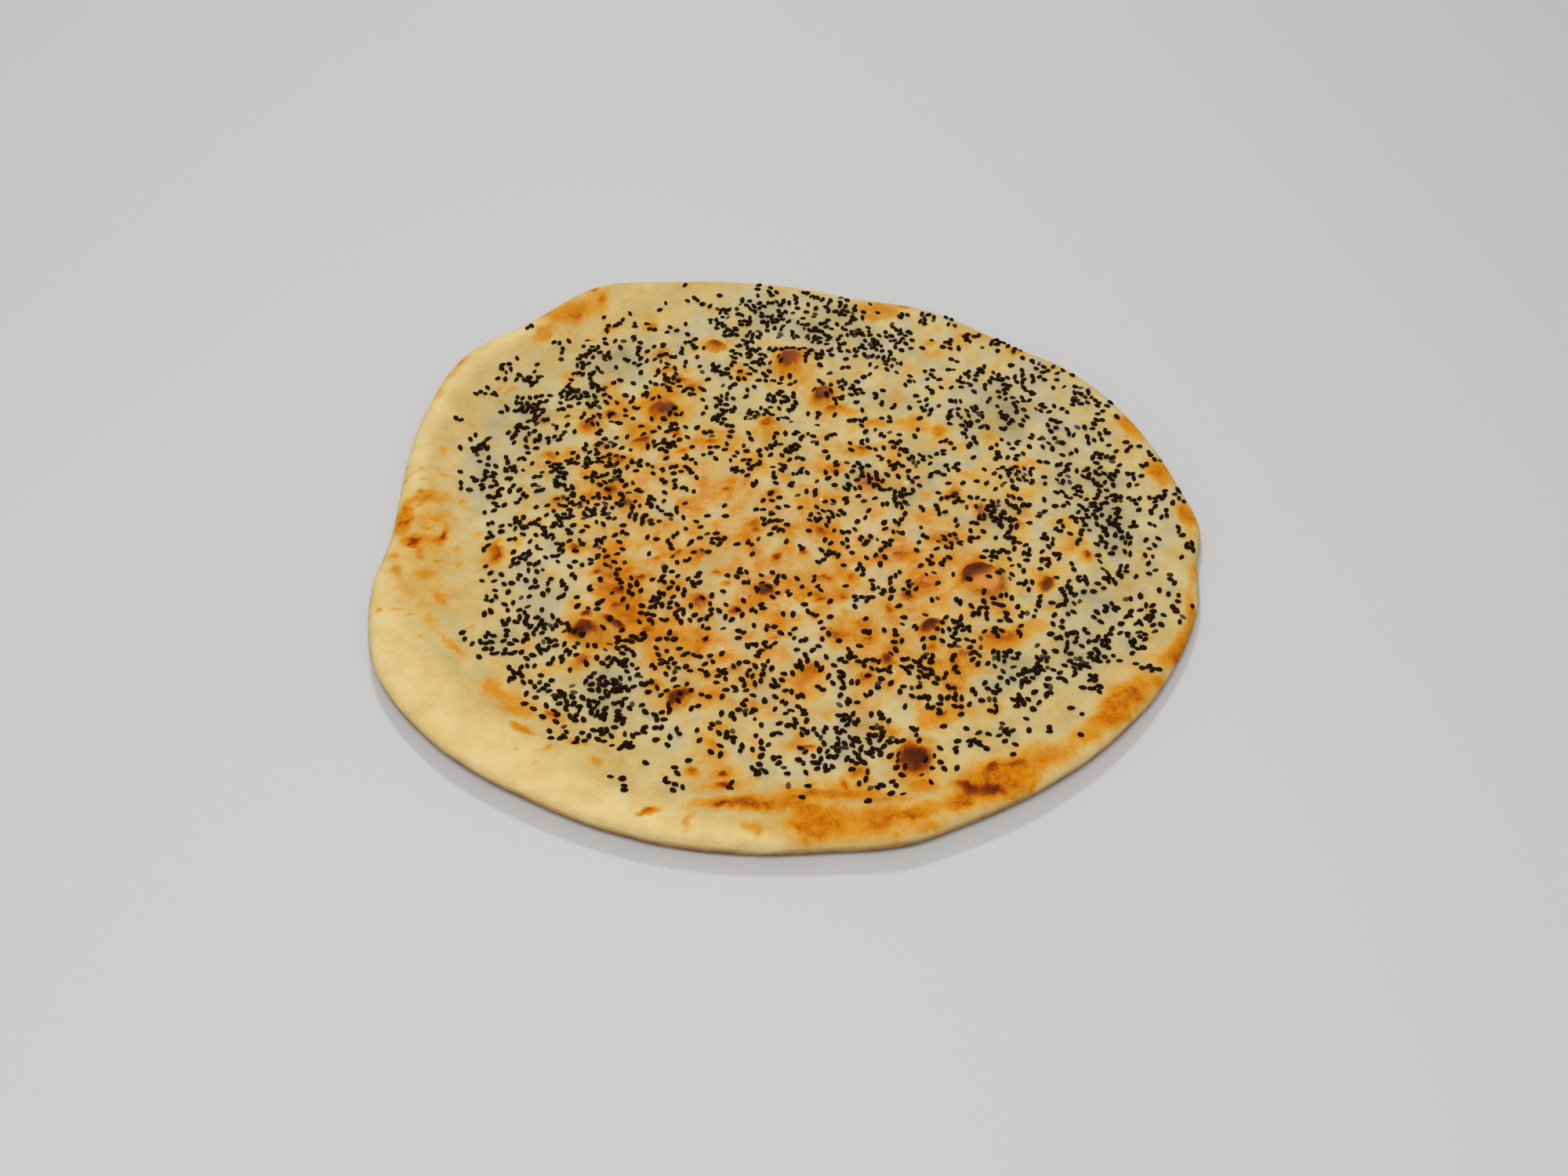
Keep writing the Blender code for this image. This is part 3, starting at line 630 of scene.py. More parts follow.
    # Toasted patches, in the same terms.
    toasts: tuple = (
        (-98, 127, 12, 5, 15, 0.2), (-97, 131, 18, 9, 38, 0.2), (-85, 136, 2.5, 4, 0, 0.2),
        (-91, 143, 3, 2.5, 0, 0.24), (-111, 112, 3.5, 7, -15, 0.32), (-144, 96, 4, 3, 45, 0.3),
        (-148, 87, 4, 7, -25, 0.2), (-151, 75, 3, 5, 0, 0.18), (-96, 88, 6, 4, 0, 0.24),
        (-110, 95, 2, 2.5, 0, 0.24), (-124, 78, 2.2, 2.5, 0, 0.34), (-124, 63, 2.5, 2, 0, 0.2),
        (-145, 41, 1.6, 1.6, 0, 0.3), (-57, 76, 10, 8, 0, 0.35), (-72, 70, 8, 7, 0, 0.28),
        (-80, 82, 3, 5, 0, 0.3), (-44, 94, 6, 4, 0, 0.26), (-64, 54, 7, 7, 0, 0.3),
        (-60, 64, 20, 15, 0, 0.1), (-90, 62, 10, 7, 0, 0.16), (-98, 40, 10, 7, 0, 0.26),
        (-78, 32, 13, 16, 0, 0.2), (-70, 18, 9, 11, 0, 0.24), (-88, 14, 9, 6, 0, 0.18),
        (-67, -28, 10, 24, 8, 0.35), (-58, -50, 12, 9, 0, 0.2), (-74, -60, 7, 8, 0, 0.28),
        (-90, -70, 10, 5, 10, 0.18), (-42, -60, 10, 5, 0, 0.22), (-30, -88, 9, 4, 0, 0.24),
        (-25, -62, 14, 8, 0, 0.12), (-103, -88, 12.5, 4.6, -28, 0.27),
        (-98.5, -101.5, 6, 1.7, -28, 0.46), (-79, -106, 4, 2, -20, 0.34),
        (-71, -115, 4, 1.4, -60, 0.3), (-112, -80, 5, 3, -30, 0.2), (-130, -62, 8, 1.5, -38, 0.3),
        (-137, -38, 6, 1.8, -55, 0.34), (-139, -50, 6, 3, -40, 0.18), (-120, -14, 6, 10, 0, 0.24),
        (-152, -10, 3.5, 3, 0, 0.34), (-147, -16, 4, 2, -60, 0.3), (-144, -9, 4, 2, 0, 0.26),
        (-140, -4, 2, 5, 0, 0.3), (-157, 2, 4, 10, 0, 0.34), (-148, 14, 10, 3.5, 0, 0.28),
        (-147, 5, 10, 9, 0, 0.14), (-156, -26, 2, 3, 20, 0.3), (-144, -27, 4, 2, 20, 0.22),
        (-159, -46, 1.8, 2, 0, 0.3), (-148, -20, 14, 26, 0, 0.14), (-30, -112, 7, 9, 0, 0.2),
        (-25, -122, 8, 5, -20, 0.2), (-15, -132.5, 17, 2.8, 1, 0.43), (5, -137, 7, 3, -20, 0.26),
        (8, -128, 18, 3.4, 6, 0.3), (24, -120, 7, 5, 0, 0.24), (8, -142, 9, 7, -10, 0.38),
        (28, -142, 11, 6, 5, 0.2), (24, -142, 30, 8, 4, 0.22), (30, -131, 12, 3, -8, 0.28),
        (45, -138, 8, 3, 20, 0.34), (47, -144, 6, 2, 15, 0.24), (46, -125, 6, 3.5, 0, 0.34),
        (-14, -145, 4, 3, 20, 0.2), (-37, -141, 2.5, 4, 0, 0.24), (-50, -138, 6, 1.8, 14, 0.3),
        (59, -133.5, 6, 4, 30, 0.38), (73, -125, 15, 8.5, 12, 0.5), (88, -114, 10, 7, 20, 0.24),
        (97, -114, 8, 6, 30, 0.16), (110, -102, 11, 5, 35, 0.36), (120, -92, 10, 6, 40, 0.4),
        (127, -84, 13, 6, 38, 0.32), (137, -78, 4, 3, 0, 0.2), (145, -66, 8, 4, 42, 0.44),
        (150, -57, 6, 3, 60, 0.38), (154, -45, 3, 10, -5, 0.3), (157, -26, 2, 8, -5, 0.24),
        (101, -42, 5, 4, 0, 0.24), (141, -17, 2.2, 2.4, 0, 0.34), (113, -10, 8, 7, 0, 0.24),
        (112, 2, 5, 4, 0, 0.28), (92, -3, 5, 8, 0, 0.22), (82, -43, 7, 4, 0, 0.26),
        (88, -55, 14, 4.5, 18, 0.3), (75, -58, 10, 5, 0, 0.2), (62, -72, 8, 11, 0, 0.24),
        (56, -93, 10, 5, 30, 0.26), (73, -90, 7, 4, 0, 0.2), (35, -60, 7, 13, 0, 0.24),
        (22, -56, 10, 8, 0, 0.18), (50, -28, 13, 7, 0, 0.15), (42, -16, 9, 5, 0, 0.16),
        (10, -28, 14, 9, 0, 0.16), (-10, -34, 16, 9, 0, 0.16), (60, -6, 7, 6, 0, 0.18),
        (3, -107, 5, 4, 0, 0.22), (35, -102, 5, 4, 0, 0.2), (8, -73, 6, 8, 0, 0.18),
        (-40, -12, 16, 10, 0, 0.12), (38, 130, 13, 6.5, -5, 0.4), (36, 126, 4, 1.6, -25, 0.14),
        (52, 134, 5, 2.2, -20, 0.3), (62, 105, 5, 7, 0, 0.2), (73, 107, 7, 4, 10, 0.24),
        (99, 102, 4, 4, 0, 0.2), (114, 90, 8, 5, 0, 0.14), (52, 60, 8, 6, 0, 0.28),
        (62, 55, 6, 5, 0, 0.2), (83, 52, 7, 5, 0, 0.28), (70, 45, 7, 5, 0, 0.2),
        (36, 60, 6, 3, 0, 0.22), (45, 76, 5, 5, 0, 0.2), (15, 75, 8, 9, 0, 0.24),
        (29, 43, 8, 5, 0, 0.22), (31, 24, 7, 6, 0, 0.2), (18, 30, 6, 4, 0, 0.18),
        (75, 28, 6, 5, 0, 0.24), (66, 18, 6, 8, 0, 0.2), (95, 17, 8, 4, 10, 0.28),
        (97, 35, 8, 4, 20, 0.3), (93, 8, 5, 4, 0, 0.24), (58, 5, 9, 7, 0, 0.18),
        (143, 54, 8, 4.5, 120, 0.42), (152, 30, 7, 5, 105, 0.46), (160, 4, 8, 3.5, 95, 0.46),
        (142, 22, 3, 2, 0, 0.24), (119, 44, 2.5, 5, 0, 0.22), (-10, 55, 10, 8, 0, 0.16),
        (-35, 50, 10, 6, 0, 0.2), (-20, 90, 5, 8, 0, 0.2), (-20, 18, 14, 10, 0, 0.12),
        (-42, 14, 7, 9, 0, 0.18), (10, 10, 8, 10, 0, 0.1),
    )
    # Places that the heat left pale, in the same terms.
    pales: tuple = (
        (-101, -40, 15, 22, 0, 0.3), (-74, -88, 17, 12, -30, 0.34), (-55, -108, 20, 12, -20, 0.3),
        (0, 124, 34, 13, 0, 0.3), (42, 107, 14, 12, 0, 0.3), (84, 76, 24, 22, 0, 0.3),
        (48, 24, 16, 10, 0, 0.2), (27, -102, 12, 10, 0, 0.26), (131, 4, 13, 22, 0, 0.3),
        (92, -76, 13, 10, 0, 0.26), (119, -50, 17, 13, 0, 0.3), (92, -97, 16, 8, 20, 0.26),
        (-130, 45, 18, 46, 0, 0.3), (-75, 92, 11, 9, 0, 0.26), (-35, 98, 8, 7, 0, 0.2),
        (8, -63, 8, 6, 0, 0.18), (114, 52, 14, 26, 0, 0.28), (-45, -122, 14, 7, -10, 0.24),
        (2, 40, 10, 8, 0, 0.12),
    )
    # Thin, glassy skin over a bubble, where the dough looks olive grey, and broad patches on the
    # left and right that are painted shade, in the same terms.
    glassy_and_shade: tuple = (
        (-74, 104, 8, 6, 0, 0.7), (-62, 98, 16, 9, 0, 0.3), (-75, 90, 9, 5, 0, 0.4),
        (92, 68, 10, 14, -8, 0.85), (94, 57, 5, 4, 0, 0.5), (42, 77, 8, 6, 0, 0.45),
        (26, -96, 8, 7, 0, 0.5), (8, -63, 6, 5, 0, 0.4), (-72, 49, 5, 4, 0, 0.4),
        (117, 30, 8, 12, 0, 0.3), (103, -38, 9, 5, 0, 0.4), (112, -37, 9, 6, 0, 0.5),
        (84, -73, 14, 9, 0, 0.45), (30, 27, 7, 6, 0, 0.4), (131, 5, 9, 20, 0, 0.4),
        (-4, 124, 22, 12, 0, 0.3), (20, 118, 20, 12, 0, 0.3), (-72, -80, 14, 10, 0, 0.4),
        (-112, -58, 9, 6, 0, 0.35), (50, 22, 12, 8, 0, 0.25), (110, -63, 12, 8, 0, 0.4),
        (-95, 100, 22, 14, 0, 0.3), (-100, 72, 20, 14, 0, 0.3), (-118, 35, 20, 20, 0, 0.3),
        (-28, 70, 10, 8, 0, 0.3), (88, 6, 10, 8, 0, 0.25), (130, -42, 14, 16, 0, 0.35),
        (145, -10, 10, 20, 0, 0.25), (-128, 65, 10, 20, 0, 0.2), (-145, -28, 10, 12, 0, 0.15),
    )
    # Creases: the line, its half width, its depth, and how brown the raised lip is.
    creases: tuple = (
        (((-154, -42), (-133, -61), (-111, -80), (-93, -98), (-78, -112), (-62, -123), (-44, -129)),
         5.0, 0.7, 0.0),
        (((-44, -137), (-32, -135.5), (-20, -135.5), (0, -135), (10, -132), (26, -129), (40, -130)),
         1.8, 1.2, 0.3),
        (((-40, -128), (-26, -125), (-14, -128)), 1.5, 0.7, 0.2),
        (((-6, -129), (10, -124), (22, -126)), 1.5, 0.7, 0.2),
        (((26, -131), (48, -126), (60, -116), (86, -104)), 4.0, 0.5, 0.0),
        (((89, 61), (91, 54), (95, 51), (99, 54), (101, 60)), 1.2, 0.9, 0.0),
        (((98, -96), (121, -76), (141, -48)), 5.0, 0.5, 0.0),
        (((-160, 15), (-140, 12), (-118, 20)), 3.5, 0.5, 0.0),
        (((-136, -2), (-118, -6), (-104, -2)), 3.0, 0.4, 0.0),
        (((146, -2), (154, -12), (158, -30)), 2.5, 0.5, 0.0),
    )
    # How wide the rim's pale outer band is, by bearing: floury dough, with painted light where it
    # is widest on the front left.
    flour_and_light_band: tuple = (
        (0, 1), (40, 2), (90, 4), (110, 3), (140, 12), (170, 14), (195, 20), (215, 28), (235, 28),
        (255, 16), (268, 5), (285, 2), (310, 3), (335, 2),
    )
    # Where the rim is speckled: x, y, reach and how many specks.
    speckled: tuple = (
        (-145, 0, 24, 26), (-128, -20, 22, 16), (-150, 25, 14, 12), (-140, -50, 18, 8),
        (-120, 75, 16, 8), (-100, 115, 20, 8), (60, 125, 18, 8), (130, 60, 14, 8),
        (140, -10, 14, 6), (-90, -105, 16, 8), (40, -138, 20, 12), (100, 105, 10, 5),
    )
    # The middle, which the oven heats most: its place and its reach along X and Y.
    oven_middle: tuple = (-4, -24)
    oven_reach: tuple = (114, 98)

    # Small blisters scattered over the middle, and how far out they go as a share of its area.
    pock_count: int = 150
    pock_radius: tuple = (1.1, 2.8)
    pock_height: float = 0.48
    pock_reach: float = 0.8
    pock_draw: int = 61
    speck_length: tuple = (0.8, 2.2)
    speck_tilt: tuple = (-40, 40)

    # Layers of noise: strength, cell in metres, draw and stretch.
    mottle_layers: tuple = (
        (0.42, 0.0098, 21, 1.3), (0.52, 0.0046, 22, 1.6), (0.40, 0.0026, 23, 1.5),
    )
    lump_layers: tuple = ((0.14, 0.0021, 24), (0.75, 0.019, 35))
    island_layers: tuple = ((0.55, 0.021, 33), (0.6, 0.0095, 34))
    plain_layers: tuple = ((0.8, 0.022, 51), (1.0, 0.0085, 52), (0.9, 0.004, 53))
    heat_edge_layers: tuple = ((0.22, 0.034, 36),)
    glass_and_shade_layers: tuple = ((0.5, 0.007, 25),)
    rim_layers: tuple = ((0.2, 0.03, 37),)
    damp_layers: tuple = ((0.6, 0.016, 38),)
    oil_layers: tuple = ((0.9, 0.012, 26),)
    # How far edges wander, in millimetres, and over what length, in metres.
    wander: tuple = ((1.3, 0.019), (1.3, 0.0075), (1.0, 0.003))
    wander_draw: int = 27

    # Relief, in millimetres.
    mottle_relief: float = 0.58
    fold_depth: float = 0.45
    glassy_dip: float = 0.25
    # A crease as shares of its depth: its groove, the lip on its left, and how steep that rises.
    crease_relief: float = 1.6
    crease_groove: float = 0.7
    crease_lip: float = 0.45
    lip_steepness: float = 2.0
    # How far from the edge the fine relief starts and how wide its fade is, in metres.
    relief_start: float = 0.0005
    relief_fade: float = 0.007

    # Browning, of which 0 is pale dough and 1 is nearly black.
    middle_toast: float = 0.26
    # Where the heat of the middle starts to fade, and how wide that fade is, in its own reaches.
    heat_edge: float = 0.62
    heat_fade: float = 0.34
    patch_limit: float = 0.53
    # How crisp the edges are of toasted patches, blisters, charred spots and a blister's relief.
    patch_crispness: float = 1.7
    blister_crispness: float = 1.8
    spot_crispness: float = 1.3
    relief_crispness: float = 1.5
    # How the middle breaks up into islands: the level between them, and their contrast.
    island_floor: float = 0.06
    island_level: float = 0.52
    island_contrast: float = 1.2
    # How strong the patches are, and how much islands and mottle move that.
    patch_gain: float = 1.18
    patch_islands: float = 0.25
    patch_bumps: float = 0.1
    # How strongly the mottle shows in the middle and in the patches, and in what stands up.
    middle_mottle: float = 1.1
    patch_mottle: float = 0.2
    core_mottle: float = 0.1
    halo_mottle: float = 0.2
    skin_mottle: float = 0.12
    pale_strength: float = 0.7
    seed_shade: float = 0.45
    # Browning of the mottle's bumps, and above which height; and of the pocks, less under seeds.
    bump_toast: float = 0.10
    bump_from: float = 0.25
    pock_toast: float = 0.17
    pock_shade: float = 0.6
    speck_toast: float = 0.34
    # How brown plain dough is, how far that wanders, the share of it on the bare rim, and the most
    # that it gets; then what the rim adds, and what seeds and pale places take off.
    plain_toast: float = 0.125
    plain_wander: float = 0.14
    bare_wander: float = 0.3
    plain_limit: float = 0.4
    rim_toast: float = 0.05
    shade_pale: float = 0.04
    pale_plain: float = 0.3
    # A blister's brown ring: how much wider it is than the blister, and how brown it gets.
    halo_width: float = 1.5
    halo_share: float = 0.8
    halo_limit: float = 0.5
    char_gain: float = 0.1
    # How far out a bubble's skin is brown, and how wide that fades, as shares of its radius.
    skin_reach: float = 1.08
    skin_fade: float = 0.24
    skin_middle: float = 0.9
    # How much wider the browning of a crease is than the crease.
    lip_width: float = 1.3
    lip_overlap: float = 0.6
    # How much seeds lying thick make the dough look glassy and grey: partly moist dough, partly
    # painted shade between the seeds.
    seed_glass_and_shade: float = 0.35
    # Where damp and oil start to fade and how wide that fade is, in the middle's own reaches.
    damp_middle: tuple = (0.4, 0.55)
    damp_level: float = 0.75
    oil_middle: tuple = (0.45, 0.5)
    oil_level: float = 0.6

    def warp(self, x: Array, y: Array) -> tuple:
        """Shift points a little, so that the edges of patches and blisters wander.

        Args:
            x: Points along X, in metres.
            y: Points along Y, in metres.

        Returns:
            The shifted points, along X and along Y.
        """
        moved = []
        for number, values in enumerate((x, y)):
            draw = self.wander_draw + len(self.wander) * number
            layers = tuple((*layer, draw + octave) for octave, layer in enumerate(self.wander))
            moved.append(values + layered(x, y, layers) * MM)
        return tuple(moved)

    def mottle(self, x: Array, y: Array) -> Array:
        """Uneven browning, which follows the bumps of the crust."""
        return layered(x, y, self.mottle_layers)

    def in_oven_middle(self, x: Array, y: Array, start: Array | float, width: float) -> Array:
        """Fade from 1 in the middle, which the oven heats most, to 0 towards the rim.

        Args:
            x: Points along X, in metres.
            y: Points along Y, in metres.
            start: Where the fade starts, as a share of the middle's reach.
            width: How wide the fade is, in the same terms.

        Returns:
            The fade at each point.
        """
        across = (x / MM - self.oven_middle[0]) / self.oven_reach[0]
        along = (y / MM - self.oven_middle[1]) / self.oven_reach[1]
        return 1 - ease((np.hypot(across, along) - start) / width)

    def pocks(self, x: Array, y: Array) -> tuple:
        """Scatter small blisters over the middle.

        Args:
            x: Points along X, in metres.
            y: Points along Y, in metres.

        Returns:
            Their height in millimetres, and their browning, which is strongest round their feet.
        """
        reach, weakest, tightness = 3, 0.3, 1.3
        foot, foot_width, pale, pale_tightness = 0.75, 0.45, 0.35, 4
        rng = np.random.default_rng(self.pock_draw)
        height, brown = np.zeros_like(x), np.zeros_like(x)
        for _ in range(self.pock_count):
            bearing, out = rng.uniform(0, TURN), math.sqrt(rng.uniform(0, self.pock_reach))
            radius, strength = rng.uniform(*self.pock_radius), rng.uniform(weakest, 1)
            dx = x / MM - self.oven_middle[0] - self.oven_reach[0] * out * math.cos(bearing)
            dy = y / MM - self.oven_middle[1] - self.oven_reach[1] * out * math.sin(bearing)
            near = np.hypot(dx, dy) < reach * radius
            share = np.hypot(dx[near], dy[near]) / radius
            ring = np.exp(-(((share - foot) / foot_width) ** 2))
            height[near] += self.pock_height * strength * np.exp(-(share**2) * tightness)
            brown[near] += strength * (ring - pale * np.exp(-(share**2) * pale_tightness))
        return height, brown

    def specks(self, x: Array, y: Array) -> Array:
        """Scatter tiny toasted specks round the named places of the rim.

        Args:
            x: Points along X, in metres.
            y: Points along Y, in metres.

        Returns:
            Their summed strength at each point.
        """
        spread, faintest, slimness, crispness = 0.5, 0.4, 0.6, 1.4
        rng = np.random.default_rng(self.pock_draw + 1)
        brown = np.zeros_like(x)
        for px, py, reach, count in self.speckled:
            for _ in range(count):
                sx = px + reach * rng.normal(0, spread)
                sy = py + reach * rng.normal(0, spread)
                long, tilt = rng.uniform(*self.speck_length), rng.uniform(*self.speck_tilt)
                speck = (sx, sy, long, long * slimness, tilt, rng.uniform(faintest, 1))
                brown += patches(x, y, (speck,), crispness)
        return brown

    def bubble_relief(self, x: Array, y: Array) -> Array:
        """Raise the large bubbles, each with a fold round its foot.

        Args:
            x: Points along X, in metres.
            y: Points along Y, in metres.

        Returns:
            The height that they add, in millimetres.
        """
        plumpness, fold, fold_width = 0.8, 1.12, 1.4
        total = np.zeros_like(x)
        for px, py, radius, height, _ in self.bubbles:
            share = out_from(x, y, (px, py), radius)
            total += height * np.clip(1 - share**2, 0, None) ** plumpness
            ring = np.exp(-(((share - fold) * radius / fold_width) ** 2))
            total -= self.fold_depth * height * ring
        return total

    def fine_relief(self, x: Array, y: Array, inset: Array) -> Array:
        """Add up small blisters, creases and lumps on top of the broad form.

        Args:
            x: Points along X, in metres.
            y: Points along Y, in metres.
            inset: How far the points lie inside the edge, in metres.

        Returns:
            The height that they add, in metres.
        """
        x, y = self.warp(x, y)
        total = self.mottle_relief * self.mottle(x, y) + layered(x, y, self.lump_layers)
        for px, py, rx, ry, tilt, height, _ in self.blisters:
            blister = (px, py, rx, ry, tilt, height / self.blister_steps)
            total += patches(x, y, (blister,), self.relief_crispness)
        total += self.bubble_relief(x, y) + self.pocks(x, y)[0]
        for line, width, depth, _ in self.creases:
            near, side = nearness(x, y, line, width)
            lip = self.crease_lip * np.tanh(self.lip_steepness * side)
            total += self.crease_relief * depth * near * (lip - self.crease_groove)
        total -= self.glassy_dip * patches(x, y, self.glassy_and_shade)
        return total * MM * ease((inset - self.relief_start) / self.relief_fade)

    def golden(self, x: Array, y: Array, mottle: Array) -> Array:
        """Brown the oven's middle and the named patches, both broken up into islands.

        Args:
            x: Points along X, in metres.
            y: Points along Y, in metres.
            mottle: The uneven browning there.

        Returns:
            The browning at each point.
        """
        islands = layered(x, y, self.island_layers)
        edge = self.heat_edge + layered(x, y, self.heat_edge_layers)
        shown = ease(self.island_level + self.island_contrast * islands)
        shown = self.island_floor + (1 - self.island_floor) * shown
        gold = self.middle_toast * self.in_oven_middle(x, y, edge, self.heat_fade) * shown
        marks = patches(x, y, self.toasts, self.patch_crispness)
        marks *= self.patch_gain + self.patch_islands * islands + self.patch_bumps * mottle
        return gold * (1 + self.middle_mottle * mottle) + marks * (1 + self.patch_mottle * mottle)

    def risen_toast(self, x: Array, y: Array, toast: Array, mottle: Array) -> Array:
        """Brown what stands up: blisters with a ring round them, bubbles, chars and crease lips.

        Args:
            x: Points along X, in metres.
            y: Points along Y, in metres.
            toast: The browning so far.
            mottle: The uneven browning there.

        Returns:
            The browning at each point.
        """
        for px, py, rx, ry, tilt, _, char in self.blisters:
            core = patches(x, y, ((px, py, rx, ry, tilt, 1.0),), self.blister_crispness)
            wide, high = rx * self.halo_width, ry * self.halo_width
            halo = patches(x, y, ((px, py, wide, high, tilt, 1.0),))
            toast = np.maximum(toast, core * (char + self.char_gain + self.core_mottle * mottle))
            ring = min(self.halo_limit, self.halo_share * char) + self.halo_mottle * mottle
            toast = np.maximum(toast, halo * ring)
        for px, py, radius, _, brown in self.bubbles:
            share = out_from(x, y, (px, py), radius)
            skin = ease((self.skin_reach - share) / self.skin_fade)
            skin *= self.skin_middle + (1 - self.skin_middle) * share
            toast = np.maximum(toast, brown * skin * (1 + self.skin_mottle * mottle))
        toast = toast + patches(x, y, self.chars, self.spot_crispness)
        for line, width, _, brown in self.creases:
            near, side = nearness(x, y, line, width * self.lip_width)
            toast = toast + brown * near * np.clip(self.lip_overlap + side, 0, 1)
        return toast

    def toast(self, x: Array, y: Array, shade: Array, seeded: Array) -> Array:
        """Work out how brown the crust is.

        Args:
            x: Points along X, in metres.
            y: Points along Y, in metres.
            shade: How much the seeds lying there kept off the heat, from 0 to 1.
            seeded: 1 where the seeds were thrown and 0 on the bare rim.

        Returns:
            Browning from 0, pale dough, to 1, nearly black.
        """
        x, y = self.warp(x, y)
        mottle = self.mottle(x, y)
        pale = patches(x, y, self.pales)
        base = self.golden(x, y, mottle) - pale * self.pale_strength
        toast = np.clip(base, 0.0, self.patch_limit) * (1 - self.seed_shade * shade)
        toast += self.bump_toast * np.clip(mottle - self.bump_from, 0, None)
        toast += self.pock_toast * self.pocks(x, y)[1] * (1 - self.pock_shade * shade)
        toast += self.speck_toast * self.specks(x, y)
        toast = self.risen_toast(x, y, toast, mottle)
        plain = self.plain_wander * layered(x, y, self.plain_layers)
        plain *= self.bare_wander + (1 - self.bare_wander) * seeded
        plain += self.plain_toast + self.rim_toast * (1 - seeded)
        plain -= self.shade_pale * shade + self.pale_plain * pale * seeded
        return np.clip(np.clip(plain, 0, self.plain_limit) * (1 - toast) + toast, 0, 1)

    def glass_and_shade(self, x: Array, y: Array, shade: Array) -> Array:
        """How thin and glassy the dough looks, from 0 to 1, with painted shade on broad patches and
        where seeds lie thick in it.
        """
        thin = patches(x, y, self.glassy_and_shade) + self.seed_glass_and_shade * shade
        return np.clip(thin * (1 + layered(x, y, self.glass_and_shade_layers)), 0, 1)

    def flour_and_rim_light(self, x: Array, y: Array, inset: Array) -> Array:
        """Work out how floury and pale the rim is, with painted light on the front left rim.

        Args:
            x: Points along X, in metres.
            y: Points along Y, in metres.
            inset: How far the points lie inside the edge, in metres.

        Returns:
            Flour and painted light from 0, none, to 1.
        """
        narrowest, full_width, steepness = 0.1, 4, 2
        band = around(self.flour_and_light_band, np.arctan2(y, x) + layered(x, y, self.rim_layers))
        fade = np.clip((1 - inset / (np.maximum(band, narrowest) * MM)) * steepness, 0, 1)
        return fade * np.clip(band / full_width, 0, 1)

    def painted_sheen(self, x: Array, y: Array) -> Array:
        """How much painted sheen, a reflection painted into the colour, lies on the skin of the
        bubbles, from 0 to 1.
        """
        return np.clip(patches(*self.warp(x, y), self.sheen_patches, self.spot_crispness), 0, 1)

    def damp(self, x: Array, y: Array) -> Array:
        """How damp the crust is, from 0 to 1, most in the middle."""
        middle = self.in_oven_middle(x, y, *self.damp_middle)
        return middle * np.clip(self.damp_level + layered(x, y, self.damp_layers), 0, 1)

    def oil(self, x: Array, y: Array) -> Array:
        """How oily the crust is, from 0 to 1, most in the middle."""
        middle = self.in_oven_middle(x, y, *self.oil_middle)
        return np.clip(middle * (self.oil_level + layered(x, y, self.oil_layers)), 0, 1)


@dataclass(frozen=True)
class Speckle:
    """A noise pattern: how large its blotches are, and which range of it is stretched to which.

    The size is in millimetres. Detail is the number of finer layers, rough is how strong they
    are, and warp is how much the pattern is distorted. What lies from low to high in the noise
    is stretched to run from first to last.
    """

    size: float
    detail: float = 2.0
    rough: float = 0.5
    warp: float = 0.0
    low: float = 0.0
    high: float = 1.0
    first: float = 0.0
    last: float = 1.0


@dataclass(frozen=True)
class Dents:
    """Bump: its pattern, how deep it is in millimetres, and how strongly it shows."""

    pattern: Speckle
    depth: float
    strength: float


